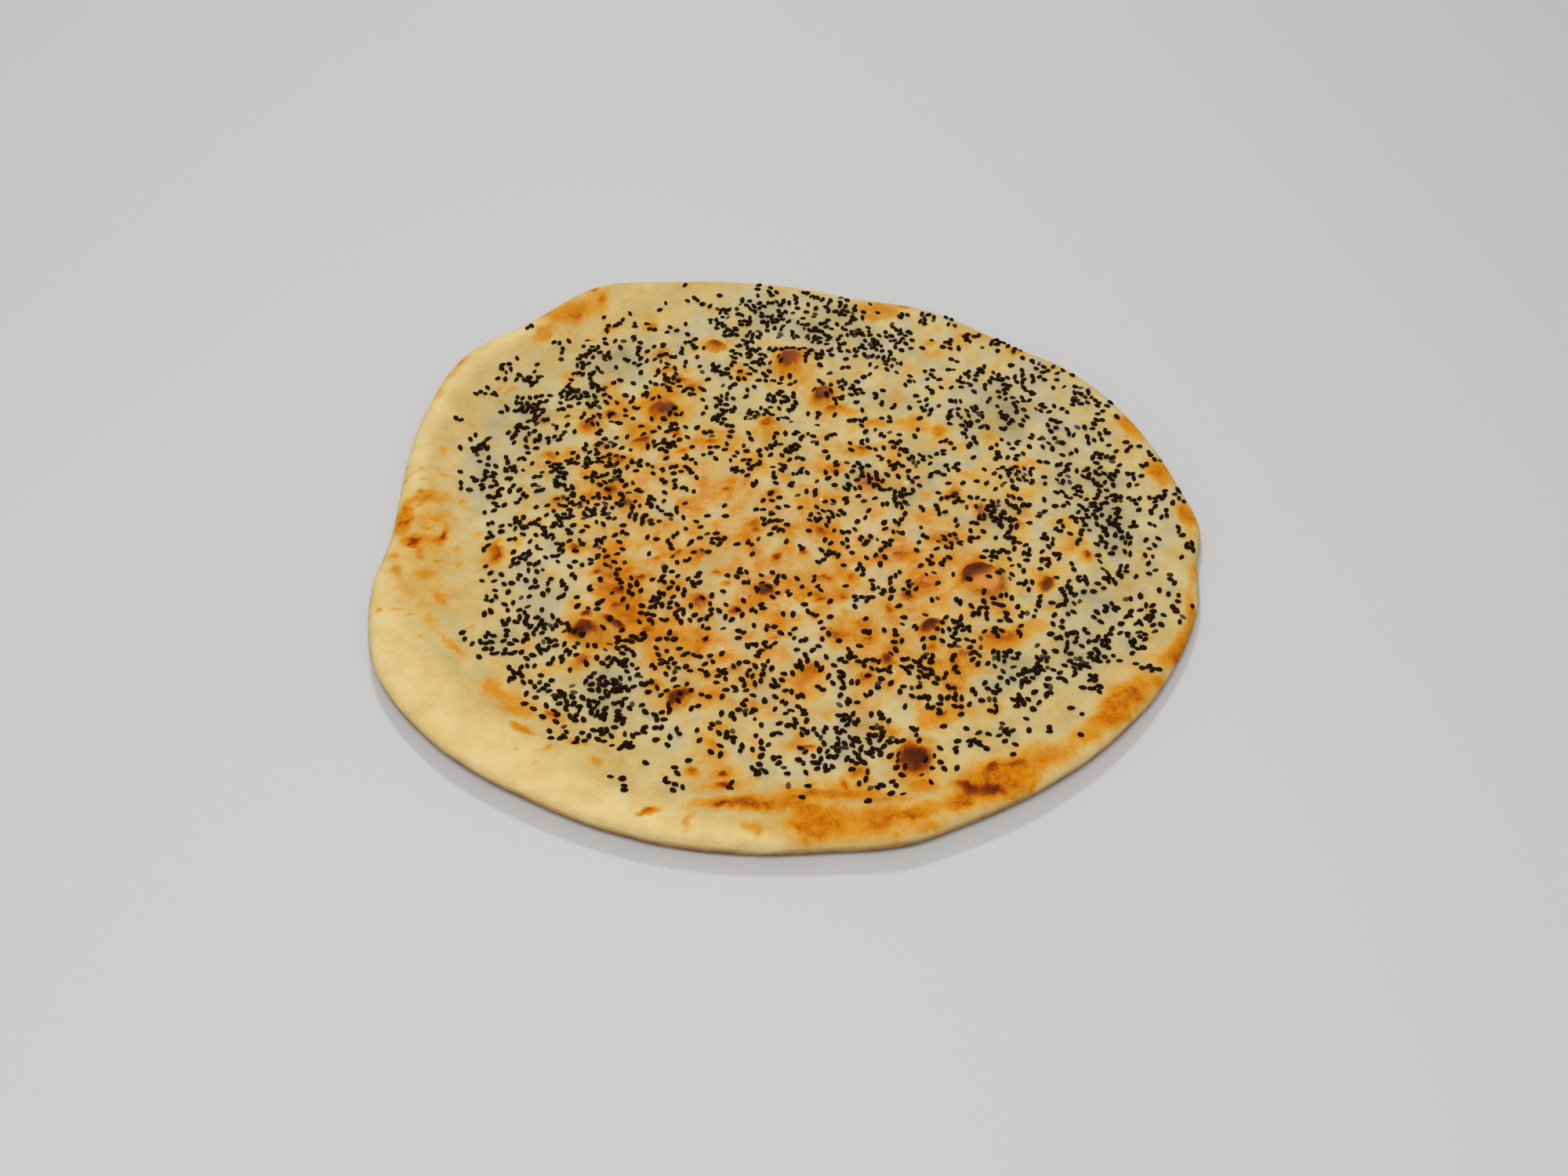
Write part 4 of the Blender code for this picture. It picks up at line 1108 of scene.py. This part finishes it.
class Shader:
    """A short way to wire a node material."""

    def __init__(self, name: str, roughness: float) -> None:
        """Start a material with an empty Principled BSDF of one roughness."""
        self.material = bpy.data.materials.new(name)
        self.material.use_nodes = True
        self.tree = self.material.node_tree
        self.principled = self.tree.nodes["Principled BSDF"]
        self.put("Roughness", roughness)

    def put(self, name: str, value: object) -> None:
        """Give one of the shader's own sockets a number or a colour."""
        self.principled.inputs[name].default_value = value

    def feed(self, name: str, source: object) -> None:
        """Join an output socket to one of the shader's own sockets."""
        self.link(source, self.principled.inputs[name])

    def node(self, kind: str, **values: object) -> bpy.types.Node:
        """Add a node and set its properties.

        Args:
            kind: The node's type, without the ShaderNode prefix.
            values: Its properties by name.

        Returns:
            The new node.
        """
        made = self.tree.nodes.new("ShaderNode" + kind)
        for name, value in values.items():
            setattr(made, name, value)
        return made

    def link(self, source: object, target: object) -> None:
        """Join an output socket to an input socket."""
        self.tree.links.new(source, target)

    def fill(self, sockets: list, values: tuple) -> None:
        """Fill input sockets in order.

        Args:
            sockets: The input sockets.
            values: A socket, number or colour for each.
        """
        for socket, value in zip(sockets, values):
            if isinstance(value, (int, float, tuple)):
                socket.default_value = value
            else:
                self.link(value, socket)

    def attribute(self, name: str) -> object:
        """Read a value stored on the mesh."""
        return self.node("Attribute", attribute_name=name).outputs["Fac"]

    def noise(self, pattern: Speckle) -> object:
        """Add the noise of a pattern, before its range is stretched.

        Args:
            pattern: The pattern, in the object's own space.

        Returns:
            The output socket, from 0 to 1.
        """
        made = self.node("TexNoise")
        made.inputs["Scale"].default_value = 1 / (pattern.size * MM)
        made.inputs["Detail"].default_value = pattern.detail
        made.inputs["Roughness"].default_value = pattern.rough
        made.inputs["Distortion"].default_value = pattern.warp
        self.link(self.node("TexCoord").outputs["Object"], made.inputs["Vector"])
        return made.outputs["Fac"]

    def speckle(self, pattern: Speckle) -> object:
        """Add a pattern with its range stretched."""
        span = (pattern.low, pattern.high, pattern.first, pattern.last)
        return self.span(self.noise(pattern), *span)

    def math(self, operation: str, first: object, second: object) -> object:
        """Add a sum.

        Args:
            operation: Blender's name for the sum.
            first: A socket or a number.
            second: A socket or a number.

        Returns:
            The output socket.
        """
        made = self.node("Math", operation=operation)
        self.fill(made.inputs, (first, second))
        return made.outputs[0]

    def span(self, value: object, low: float, high: float, first: float, last: float) -> object:
        """Stretch a value from one range to another.

        Args:
            value: The socket to stretch.
            low: The value that gives first.
            high: The value that gives last.
            first: The result at low.
            last: The result at high.

        Returns:
            The output socket.
        """
        made = self.node("MapRange", clamp=True)
        names = ("Value", "From Min", "From Max", "To Min", "To Max")
        self.fill([made.inputs[name] for name in names], (value, low, high, first, last))
        return made.outputs["Result"]

    def ramp(self, value: object, stops: tuple) -> object:
        """Turn a value into a colour by named stops.

        Args:
            value: The socket to read.
            stops: Pairs of a position and a linear colour.

        Returns:
            The colour socket.
        """
        made = self.node("ValToRGB")
        elements = made.color_ramp.elements
        while len(elements) < len(stops):
            elements.new(0.5)
        for element, (position, colour) in zip(elements, stops):
            element.position = position
            element.color = colour
        self.link(value, made.inputs["Fac"])
        return made.outputs["Color"]

    def mix(self, share: object, first: object, second: object, mode: str = "MIX") -> object:
        """Mix two colours.

        Args:
            share: How much of the second colour there is, a socket or a number.
            first: A colour or a colour socket.
            second: A colour or a colour socket.
            mode: Blender's name for the way to mix.

        Returns:
            The colour socket.
        """
        share_socket, first_colour, second_colour, result = 0, 6, 7, 2
        made = self.node("Mix", data_type="RGBA", blend_type=mode)
        sockets = [made.inputs[number] for number in (share_socket, first_colour, second_colour)]
        self.fill(sockets, (share, first, second))
        return made.outputs[result]

    def bump(self, dents: Dents, under: object = None) -> object:
        """Add bump.

        Args:
            dents: The pattern, its depth and its strength.
            under: The normal of another bump that this one lies on.

        Returns:
            The normal socket.
        """
        made = self.node("Bump")
        made.inputs["Strength"].default_value = dents.strength
        made.inputs["Distance"].default_value = dents.depth * MM
        self.link(self.noise(dents.pattern), made.inputs["Height"])
        if under is not None:
            self.link(under, made.inputs["Normal"])
        return made.outputs["Normal"]


@dataclass(frozen=True)
class CrustFinish:
    """Baked dough, from pale cream through gold and brown to nearly black."""

    # How brown the crust is, and its colour there.
    stops: tuple = (
        (0.0, srgb(198, 186, 153)),
        (0.07, srgb(205, 190, 144)),
        (0.15, srgb(211, 189, 129)),
        (0.23, srgb(217, 182, 109)),
        (0.31, srgb(220, 173, 86)),
        (0.39, srgb(219, 158, 62)),
        (0.48, srgb(218, 147, 34)),
        (0.57, srgb(216, 135, 8)),
        (0.67, srgb(190, 101, 3)),
        (0.77, srgb(152, 66, 3)),
        (0.89, srgb(112, 46, 5)),
        (1.0, srgb(74, 36, 9)),
    )
    # Olive grey of glassy skin, which also paints shade.
    glassy_and_shade_colour: tuple = srgb(161, 149, 105)
    # Pale cream of flour, which also paints light on the front left rim.
    flour_and_light_colour: tuple = srgb(236, 211, 150)
    # A peach colour that paints the broad sheen of light on the bubbles.
    painted_sheen_colour: tuple = srgb(224, 164, 104)
    cloud_colour: tuple = srgb(243, 234, 216)
    damp_tint: tuple = srgb(252, 245, 246)
    under_pale: tuple = srgb(190, 142, 80)
    under_brown: tuple = srgb(150, 92, 40)
    under_char: tuple = srgb(78, 44, 20)
    glassy_and_shade_share: float = 0.75
    # Fine and coarse patterns that shift the browning, most where the crust is toasted.
    fine_shift: Speckle = Speckle(1.5, 4.0, 0.62, 0.0, 0.25, 0.75, -0.07, 0.07)
    coarse_shift: Speckle = Speckle(4.2, 3.0, 0.6, 0.5, 0.3, 0.7, -0.06, 0.06)
    shift_by_toast: tuple = (0.1, 0.5, 0.7, 1.1)
    # Floury blotches, and the rim's flour with its painted light, which fade out where the crust is
    # toasted.
    flour: Speckle = Speckle(17, 4.0, 0.6, 0.4, 0.5, 0.66, 0.0, 0.35)
    flour_by_toast: tuple = (0.16, 0.3, 1, 0)
    rim_flour_and_light_by_toast: tuple = (0.2, 0.42, 0.75, 0)
    # Broad clouds that dull the colour, and where they are dull and clear.
    clouds: Speckle = Speckle(11, 4.0, 0.6)
    cloud_ends: tuple = (0.32, 0.6)
    # Spots of the underside, and the ranges that turn them brown and then dark.
    under_spots: Speckle = Speckle(9, 5.0, 0.6, 0.4)
    under_browning: tuple = (0.42, 0.6, 0, 1)
    under_charring: tuple = (0.64, 0.74, 0, 1)
    pores: Dents = Dents(Speckle(0.8, 4.0, 0.6), 0.14, 0.5)
    lumps: Dents = Dents(Speckle(2.6, 3.0, 0.55, 0.3), 0.6, 0.8)
    dry_roughness: float = 0.58
    sheen_of_dough: float = 0.05
    # Oil, which lies in patches and less on what is dark.
    oil_patches: Speckle = Speckle(5, 4.0, 0.65, 0.0, 0.46, 0.6)
    oil_by_toast: tuple = (0.5, 0.75, 1, 0.3)
    oil_ripples: Dents = Dents(Speckle(1.15), 0.5, 1.0)
    oil_roughness: float = 0.09
    oil_ior: float = 1.46

    def material(self) -> bpy.types.Material:
        """Wire the crust's material."""
        s = Shader("crust", self.dry_roughness)
        toast = s.attribute("toast")
        s.feed("Base Color", self.under_colour(s, self.top_colour(s, toast)))
        s.put("Specular IOR Level", self.sheen_of_dough)
        s.feed("Normal", s.bump(self.lumps, s.bump(self.pores)))
        wet = s.math("MULTIPLY", s.attribute("oil"), s.speckle(self.oil_patches))
        s.feed("Coat Weight", s.math("MULTIPLY", wet, s.span(toast, *self.oil_by_toast)))
        s.put("Coat Roughness", self.oil_roughness)
        s.put("Coat IOR", self.oil_ior)
        s.feed("Coat Normal", s.bump(self.oil_ripples))
        return s.material

    def top_colour(self, s: Shader, toast: object) -> object:
        """Colour the crust by how brown, glassy, floury and damp it is, with painted shade, painted
        light on the rim and a painted sheen on the bubbles.

        Args:
            s: The material that is being wired.
            toast: The socket that says how brown the crust is.

        Returns:
            The colour socket.
        """
        shift = s.math("ADD", s.speckle(self.fine_shift), s.speckle(self.coarse_shift))
        shift = s.math("MULTIPLY", shift, s.span(toast, *self.shift_by_toast))
        colour = s.ramp(s.math("ADD", toast, shift), self.stops)
        # Olive grey for glassy skin and for painted shade.
        glassy_and_shade = s.math("MULTIPLY", s.attribute("glass_and_shade"), self.glassy_and_shade_share)
        colour = s.mix(glassy_and_shade, colour, self.glassy_and_shade_colour)
        # Pale cream for floury blotches, and for the rim's flour with its painted light.
        for flour, by_toast in ((s.speckle(self.flour), self.flour_by_toast),
                                (s.attribute("flour_and_rim_light"), self.rim_flour_and_light_by_toast)):
            share = s.math("MULTIPLY", flour, s.span(toast, *by_toast))
            colour = s.mix(share, colour, self.flour_and_light_colour)
        # Painted sheen: a reflection painted on the bubbles as a peach colour.
        colour = s.mix(s.attribute("painted_sheen"), colour, self.painted_sheen_colour)
        colour = s.mix(s.attribute("damp"), colour, self.damp_tint, "MULTIPLY")
        cloud_stops = tuple(zip(self.cloud_ends, (self.cloud_colour, WHITE)))
        return s.mix(1.0, colour, s.ramp(s.noise(self.clouds), cloud_stops), "MULTIPLY")

    def under_colour(self, s: Shader, colour: object) -> object:
        """Colour the underside and leave the rest as it is.

        Args:
            s: The material that is being wired.
            colour: The colour socket of the rest.

        Returns:
            The colour socket.
        """
        spots = s.noise(self.under_spots)
        under = s.mix(s.span(spots, *self.under_browning), self.under_pale, self.under_brown)
        under = s.mix(s.span(spots, *self.under_charring), under, self.under_char)
        return s.mix(s.attribute("under"), colour, under)


@dataclass(frozen=True)
class SeedFinish:
    """Black onion seed: dull ridges with a faint gloss, some dusted or half under the dough."""

    black: tuple = srgb(31, 15, 3)
    brown: tuple = srgb(58, 34, 13)
    dusty: tuple = srgb(84, 74, 56)
    # Up to which tone a seed is black, and from which it is brown.
    black_to: float = 0.6
    brown_at: float = 0.85
    ridges: Dents = Dents(Speckle(0.35, 3.0), 0.08, 0.6)
    roughness: float = 0.4
    gloss: float = 0.045

    def material(self) -> bpy.types.Material:
        """Wire the seeds' material."""
        s = Shader("seed", self.roughness)
        stops = ((0.0, self.black), (self.black_to, self.black),
                 (self.brown_at, self.brown), (1.0, self.dusty))
        s.feed("Base Color", s.ramp(s.attribute("tone"), stops))
        s.put("Specular IOR Level", self.gloss)
        s.feed("Normal", s.bump(self.ridges))
        return s.material


@dataclass(frozen=True)
class FloorFinish:
    """A plain pale floor."""

    colour: tuple = srgb(206, 206, 206)
    roughness: float = 0.85

    def material(self) -> bpy.types.Material:
        """Wire the floor's material."""
        s = Shader("floor", self.roughness)
        s.put("Base Color", self.colour)
        return s.material


def add_object(name: str, data: object) -> bpy.types.Object:
    """Put a mesh, light or camera in the scene as an object of its own."""
    made = bpy.data.objects.new(name, data)
    bpy.context.scene.collection.objects.link(made)
    return made


def add_mesh(name: str, points: Array, faces: list, stored: dict,
             material: bpy.types.Material) -> bpy.types.Object:
    """Make a smooth mesh object.

    Args:
        name: The object's and the mesh's name.
        points: Its points, in metres, one row each.
        faces: The numbers of each face's points.
        stored: Values for its material to read, one for each point, by name.
        material: What it is made of.

    Returns:
        The object, in the scene.
    """
    mesh = bpy.data.meshes.new(name)
    mesh.from_pydata(points.tolist(), [], faces)
    for key, values in stored.items():
        kept = mesh.attributes.new(key, "FLOAT", "POINT")
        kept.data.foreach_set("value", values.astype(np.float32))
    mesh.shade_smooth()
    mesh.materials.append(material)
    return add_object(name, mesh)


@dataclass
class Bread:
    """The bread itself, as one closed mesh."""

    shape: DoughShape
    baking: Baking
    spread: SeedSpread
    # Cells along each side of the grid that the upper side is laid out on; the underside has half.
    cells_across: int = 256
    # How far inside the edge each grid ends, and the loops between them lie.
    top_border: float = 4.4
    top_loops: tuple = (3.1, 2.0, 1.1, 0.4, 0.0)
    under_loops: tuple = (0.4, 1.2, 2.4, 4.0)
    under_border: float = 5.8
    # Ripples of the edge: how many go round, how strong each is and how far it is turned.
    edge_ripple: float = 0.35
    ripples: tuple = ((17, 1.0, 1.0), (29, 0.8, 2.2), (47, 0.6, 0.0))
    ripple_inset: float = 0.7
    ripple_share: float = 0.25
    # How far below the solid's top the crust ends, which leaves room for seeds on it.
    headroom: float = 1.1
    # How much of the underside's brown lies on the outermost edge loop: toasted underside, and
    # painted shade of the dark line under the edge.
    edge_browning_and_shade: float = 0.35
    pits: tuple = ((1.0, 0.011, 31),)
    pit_depth: float = 0.4
    finish: CrustFinish = CrustFinish()

    def reach(self, bearing: Array) -> Array:
        """Distance to the edge with its small ripples, in metres."""
        wave = sum(size * np.sin(count * bearing + turn) for count, size, turn in self.ripples)
        ripple = self.edge_ripple * MM * (self.ripple_inset + self.ripple_share * wave)
        return self.shape.reach(bearing) - ripple

    def disc(self, cells: int, border: float) -> tuple:
        """Lay a square grid over the bread's outline.

        Args:
            cells: Cells along each side of the grid.
            border: How far inside the edge the grid ends, in millimetres.

        Returns:
            The grid's X and Y, point by point.
        """
        marks = np.linspace(-1, 1, cells + 1)
        u, v = np.meshgrid(marks, marks, indexing="ij")
        safe_u, safe_v = np.where(u == 0, 1, u), np.where(v == 0, 1, v)
        bearing = np.where(
            np.abs(u) >= np.abs(v),
            math.pi / 4 * v / safe_u + np.where(u < 0, math.pi, 0),
            math.pi / 2 - math.pi / 4 * u / safe_v + np.where(v < 0, math.pi, 0),
        )
        share = np.maximum(np.abs(u), np.abs(v))
        reach = share * (self.reach(bearing) - border * MM)
        return (reach * np.cos(bearing)).ravel(), (reach * np.sin(bearing)).ravel()

    @staticmethod
    def rim_cells(cells: int) -> Array:
        """Number a grid's border points in order, anticlockwise from its -X -Y corner.

        Args:
            cells: Cells along each side of the grid.

        Returns:
            The points' numbers within the grid.
        """
        side, width = np.arange(cells), cells + 1
        return np.concatenate([
            side * width,
            cells * width + side,
            (cells - side) * width + cells,
            cells - side,
        ])

    @staticmethod
    def grid_faces(cells: int, first: int, flip: bool) -> Array:
        """Make the quads of a grid.

        Args:
            cells: Cells along each side of the grid.
            first: The number of its first point.
            flip: True makes them face down.

        Returns:
            The numbers of each quad's points.
        """
        i, j = np.meshgrid(np.arange(cells), np.arange(cells), indexing="ij")
        a = first + i * (cells + 1) + j
        quads = np.stack([a, a + cells + 1, a + cells + 2, a + 1], -1).reshape(-1, 4)
        return quads[:, ::-1] if flip else quads

    def parts(self) -> list:
        """Lay out the upper grid, the loops round the edge and the lower grid.

        Returns:
            The X, the Y and the side of each part's points, from the top down.
        """
        x, y = self.disc(self.cells_across, self.top_border)
        parts = [(x, y, Side.TOP)]
        rim = self.rim_cells(self.cells_across)
        bearing = np.arctan2(y[rim], x[rim])
        for side, insets in ((Side.TOP, self.top_loops), (Side.UNDER, self.under_loops)):
            for inset in insets:
                reach = self.reach(bearing) - inset * MM
                parts.append((reach * np.cos(bearing), reach * np.sin(bearing), side))
        parts.append((*self.disc(self.cells_across // 2, self.under_border), Side.UNDER))
        return parts

    def faces(self, starts: Array) -> list:
        """Join the parts into one closed skin.

        Args:
            starts: The number of each part's first point, and after them the number of points.

        Returns:
            The numbers of each face's points.
        """
        quads = [self.grid_faces(self.cells_across, 0, False)]
        loop = self.rim_cells(self.cells_across)
        for start in starts[1:-2]:
            below = start + np.arange(len(loop))
            quads.append(np.stack([loop, below, np.roll(below, -1), np.roll(loop, -1)], -1))
            loop = below
        inner = starts[-2] + self.rim_cells(self.cells_across // 2)
        middle, after, inner_after = loop[1::2], np.roll(loop[::2], -1), np.roll(inner, -1)
        triangles = np.concatenate([
            np.stack([loop[::2], inner, middle], -1),
            np.stack([middle, inner, inner_after], -1),
            np.stack([middle, inner_after, after], -1),
        ])
        quads.append(self.grid_faces(self.cells_across // 2, starts[-2], True))
        return np.concatenate(quads).tolist() + triangles.tolist()

    def build(self) -> bpy.types.Object:
        """Build the bread's mesh with its stored values and its material.

        Returns:
            The bread, in the scene.
        """
        parts = self.parts()
        counts = [len(x) for x, _, _ in parts]
        starts = np.concatenate([[0], np.cumsum(counts)])
        x, y = (np.concatenate([part[axis] for part in parts]) for axis in (0, 1))
        z = np.concatenate([
            self.top_height(*spots) if side is Side.TOP else self.under_height(*spots)
            for *spots, side in parts
        ])
        under = np.repeat([float(side is Side.UNDER) for _, _, side in parts], counts)
        # The outermost edge loop gets part of the underside's brown: toasted underside, and painted
        # shade of the dark line under the edge.
        edge = len(self.top_loops)
        under[starts[edge]:starts[edge + 1]] = self.edge_browning_and_shade
        shade = self.spread.shade(x, y)
        stored = {
            "toast": self.baking.toast(x, y, shade, self.spread.seeded(x, y)),
            "glass_and_shade": self.baking.glass_and_shade(x, y, shade),
            "flour_and_rim_light": self.baking.flour_and_rim_light(x, y, self.shape.inset(x, y)),
            "painted_sheen": self.baking.painted_sheen(x, y),
            "damp": self.baking.damp(x, y),
            "oil": self.baking.oil(x, y),
            "under": under,
        }
        points = np.stack([x, y, z], -1)
        return add_mesh("naan_bread", points, self.faces(starts), stored, self.finish.material())

    def top_height(self, x: Array, y: Array) -> Array:
        """Work out the upper side with all its relief.

        Args:
            x: Points along X, in metres.
            y: Points along Y, in metres.

        Returns:
            Its height at each point, in metres.
        """
        height = self.shape.top(x, y) + self.baking.fine_relief(x, y, self.shape.inset(x, y))
        knee = self.headroom * MM
        start = cad_box[1][2] - 2 * knee
        over = np.clip(height - start, 0, None)
        return np.minimum(height, start) + knee * (1 - np.exp(-over / knee))

    def under_height(self, x: Array, y: Array) -> Array:
        """Height of the underside, with shallow pits that never go below its resting face."""
        pits = np.clip(layered(x, y, self.pits), 0, None) * self.pit_depth * MM
        return self.shape.under(x, y) + pits


@dataclass
class Seeds:
    """The onion seeds, joined into one mesh of true grains."""

    bread: Bread
    count: int = 3400
    length: float = 3.0
    width: float = 1.95
    depth: float = 1.35
    # Sides of a grain, and how far they are turned about its length, in radians.
    sides: int = 6
    roll: float = 0.3
    # Along the grain from its blunt end, and the girth there.
    stations: tuple = ((-0.78, 0.68), (-0.3, 1.0), (0.28, 0.92), (0.76, 0.48))
    # How near two seeds may lie, how many places are tried, and the density that takes them all.
    spacing: float = 1.5
    tries: int = 260000
    full_density: float = 3.0
    # How much the grains differ in size and in girth, and how far they lean.
    sizes: tuple = (0.92, 1.14)
    girths: tuple = (0.88, 1.15)
    lean: float = 0.14
    # The share that lies loose, and for loose and sunken grains the lift in depths, and the tone.
    loose_share: float = 0.88
    lifts: tuple = (0.24, -0.12)
    tones: tuple = (0.3, 0.84)
    tone_spread: float = 0.14
    # Over what length the crust's slope under a grain is read.
    slope_step: float = 0.9
    draw: int = 77
    finish: SeedFinish = SeedFinish()

    def places(self) -> Array:
        """Scatter the seeds by how thick they lie, a little apart from each other.

        Returns:
            X and Y of each seed, in metres.
        """
        rng = np.random.default_rng(self.draw)
        low, high = np.array(cad_box[0])[:2], np.array(cad_box[1])[:2]
        tries = rng.uniform(low, high, (self.tries, 2))
        chance = self.bread.spread.clumped(tries[:, 0], tries[:, 1]) / self.full_density
        tries = tries[rng.uniform(0, 1, len(tries)) < chance]
        gap = self.spacing * MM
        around_cell = [(di, dj) for di in (-1, 0, 1) for dj in (-1, 0, 1)]
        taken: dict = {}
        kept = []
        for x, y in tries.tolist():
            i, j = int(x // gap), int(y // gap)
            near = [taken[i + di, j + dj] for di, dj in around_cell if (i + di, j + dj) in taken]
            if any((x - px) ** 2 + (y - py) ** 2 < gap * gap for px, py in near):
                continue
            taken[i, j] = (x, y)
            kept.append((x, y))
            if len(kept) == self.count:
                break
        return np.array(kept)

    def grain(self) -> tuple:
        """Shape one grain, lying along X, one unit long.

        Returns:
            Its points and its faces.
        """
        half = 0.5
        angle = np.arange(self.sides) * TURN / self.sides + self.roll
        rings = [
            np.stack([
                np.full(self.sides, along * half),
                girth * half * np.cos(angle) * self.width / self.length,
                girth * half * np.sin(angle) * self.depth / self.length,
            ], -1)
            for along, girth in self.stations
        ]
        points = np.concatenate([[[-half, 0, 0]], *rings, [[half, 0, 0]]])
        k = np.arange(self.sides)
        after = (k + 1) % self.sides
        faces = np.stack([np.zeros_like(k), 1 + after, 1 + k], -1).tolist()
        first = 1
        for _ in self.stations[1:]:
            a, b = first + k, first + after
            faces += np.stack([a, b, b + self.sides, a + self.sides], -1).tolist()
            first += self.sides
        faces += np.stack([first + k, first + after, np.full_like(k, len(points) - 1)], -1).tolist()
        return points, faces

    def slopes(self, x: Array, y: Array) -> tuple:
        """Read how steep the crust is.

        Args:
            x: Points along X, in metres.
            y: Points along Y, in metres.

        Returns:
            Its slope along X and its slope along Y.
        """
        step, height = self.slope_step * MM, self.bread.top_height
        return ((height(x + step, y) - height(x - step, y)) / (2 * step),
                (height(x, y + step) - height(x, y - step)) / (2 * step))

    def build(self) -> bpy.types.Object:
        """Lay every seed on the crust and join them into one mesh.

        Returns:
            The seeds, in the scene.
        """
        rng = np.random.default_rng(self.draw + 1)
        x, y = self.places().T
        number = len(x)
        slope_x, slope_y = self.slopes(x, y)
        normal = np.stack([-slope_x + rng.normal(0, self.lean, number),
                           -slope_y + rng.normal(0, self.lean, number), np.ones(number)], -1)
        normal /= np.linalg.norm(normal, axis=1, keepdims=True)
        turn = rng.uniform(0, TURN, number)
        heading = np.stack([np.cos(turn), np.sin(turn), np.zeros(number)], -1)
        heading -= normal * np.sum(heading * normal, axis=1, keepdims=True)
        heading /= np.linalg.norm(heading, axis=1, keepdims=True)
        across = np.cross(normal, heading)
        size = self.length * MM * rng.uniform(*self.sizes, number)
        girth = rng.uniform(*self.girths, number)
        sunken = (rng.uniform(0, 1, number) > self.loose_share).astype(int)
        lift = np.array(self.lifts)[sunken] * self.depth * MM
        tone = np.array(self.tones)[sunken] + rng.normal(0, self.tone_spread, number)

        grain, grain_faces = self.grain()
        z = self.bread.top_height(x, y)
        centre = np.stack([x, y, z], -1) + normal * lift[:, None]
        along = grain[:, 0][None, :, None] * heading[:, None, :]
        side = grain[:, 1][None, :, None] * across[:, None, :] * girth[:, None, None]
        up = grain[:, 2][None, :, None] * normal[:, None, :]
        points = centre[:, None, :] + (along + side + up) * size[:, None, None]
        faces = [
            [start + corner for corner in face]
            for start in range(0, number * len(grain), len(grain))
            for face in grain_faces
        ]
        stored = {"tone": np.repeat(np.clip(tone, 0, 1), len(grain))}
        return add_mesh("onion_seeds", points.reshape(-1, 3), faces, stored, self.finish.material())


@dataclass(frozen=True)
class Lamp:
    """A round light that points at the bread: its place and width in metres, and its watts."""

    name: str
    place: tuple
    width: float
    power: float

    def hang(self) -> None:
        """Hang the light."""
        light = bpy.data.lights.new(self.name, "AREA")
        light.shape = "DISK"
        light.size = self.width
        light.energy = self.power
        lamp = add_object(self.name, light)
        lamp.location = self.place
        lamp.rotation_euler = (-Vector(self.place)).to_track_quat("-Z", "Y").to_euler()


@dataclass
class Studio:
    """The floor, the soft lights and the camera."""

    elevation: float = 50.0
    distance: float = 0.68
    lens: float = 40.0
    sensor: float = 36.0
    target: tuple = (-0.00316, -0.0343, 0.008)
    floor_size: float = 6.0
    floor_drop: float = 0.2
    world_strength: float = 0.32
    lamps: tuple = (
        Lamp("key", (-0.12, -0.6, 1.4), 0.8, 12.0),
        Lamp("glint", (-0.15, 1.15, 1.35), 0.2, 8.0),
    )
    finish: FloorFinish = FloorFinish()

    def floor(self) -> bpy.types.Object:
        """Lay the floor just under the bread.

        Returns:
            The floor, in the scene.
        """
        half, low = self.floor_size / 2, -self.floor_drop * MM
        corners = [(-half, -half, low), (half, -half, low), (half, half, low), (-half, half, low)]
        return add_mesh("floor", np.array(corners), [(0, 1, 2, 3)], {}, self.finish.material())

    def lights(self) -> None:
        """Hang the lamps and fill the rest from the sky."""
        world = bpy.data.worlds.new("studio")
        bpy.context.scene.world = world
        world.use_nodes = True
        sky = world.node_tree.nodes["Background"]
        sky.inputs["Color"].default_value = WHITE
        sky.inputs["Strength"].default_value = self.world_strength
        for lamp in self.lamps:
            lamp.hang()

    def camera(self) -> None:
        """Set the camera in front of the bread, looking down on it."""
        data = bpy.data.cameras.new("camera")
        data.lens = self.lens
        data.sensor_width = self.sensor
        camera = add_object("camera", data)
        tilt = math.radians(self.elevation)
        back = Vector((0, -math.cos(tilt), math.sin(tilt))) * self.distance
        camera.location = Vector(self.target) + back
        camera.rotation_euler = (math.pi / 2 - tilt, 0, 0)
        bpy.context.scene.camera = camera


def main() -> None:
    """Build the bread, its seeds and the studio, in that order."""
    logging.basicConfig(level=logging.INFO, format="%(name)s: %(message)s")
    shape = DoughShape()
    bread = Bread(shape, Baking(), SeedSpread(shape))
    crust = bread.build()
    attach(crust, "root")
    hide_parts("naan")
    log.info("bread: %d points, %d faces", len(crust.data.vertices), len(crust.data.polygons))

    seeds = Seeds(bread).build()
    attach(seeds, "root")
    log.info("seeds: %d points, %d faces", len(seeds.data.vertices), len(seeds.data.polygons))

    studio = Studio()
    studio.floor()
    studio.lights()
    studio.camera()
    bpy.context.scene.view_settings.view_transform = "Standard"
    log.info("studio: floor, lights and camera are set")


if __name__ == "__main__":
    main()
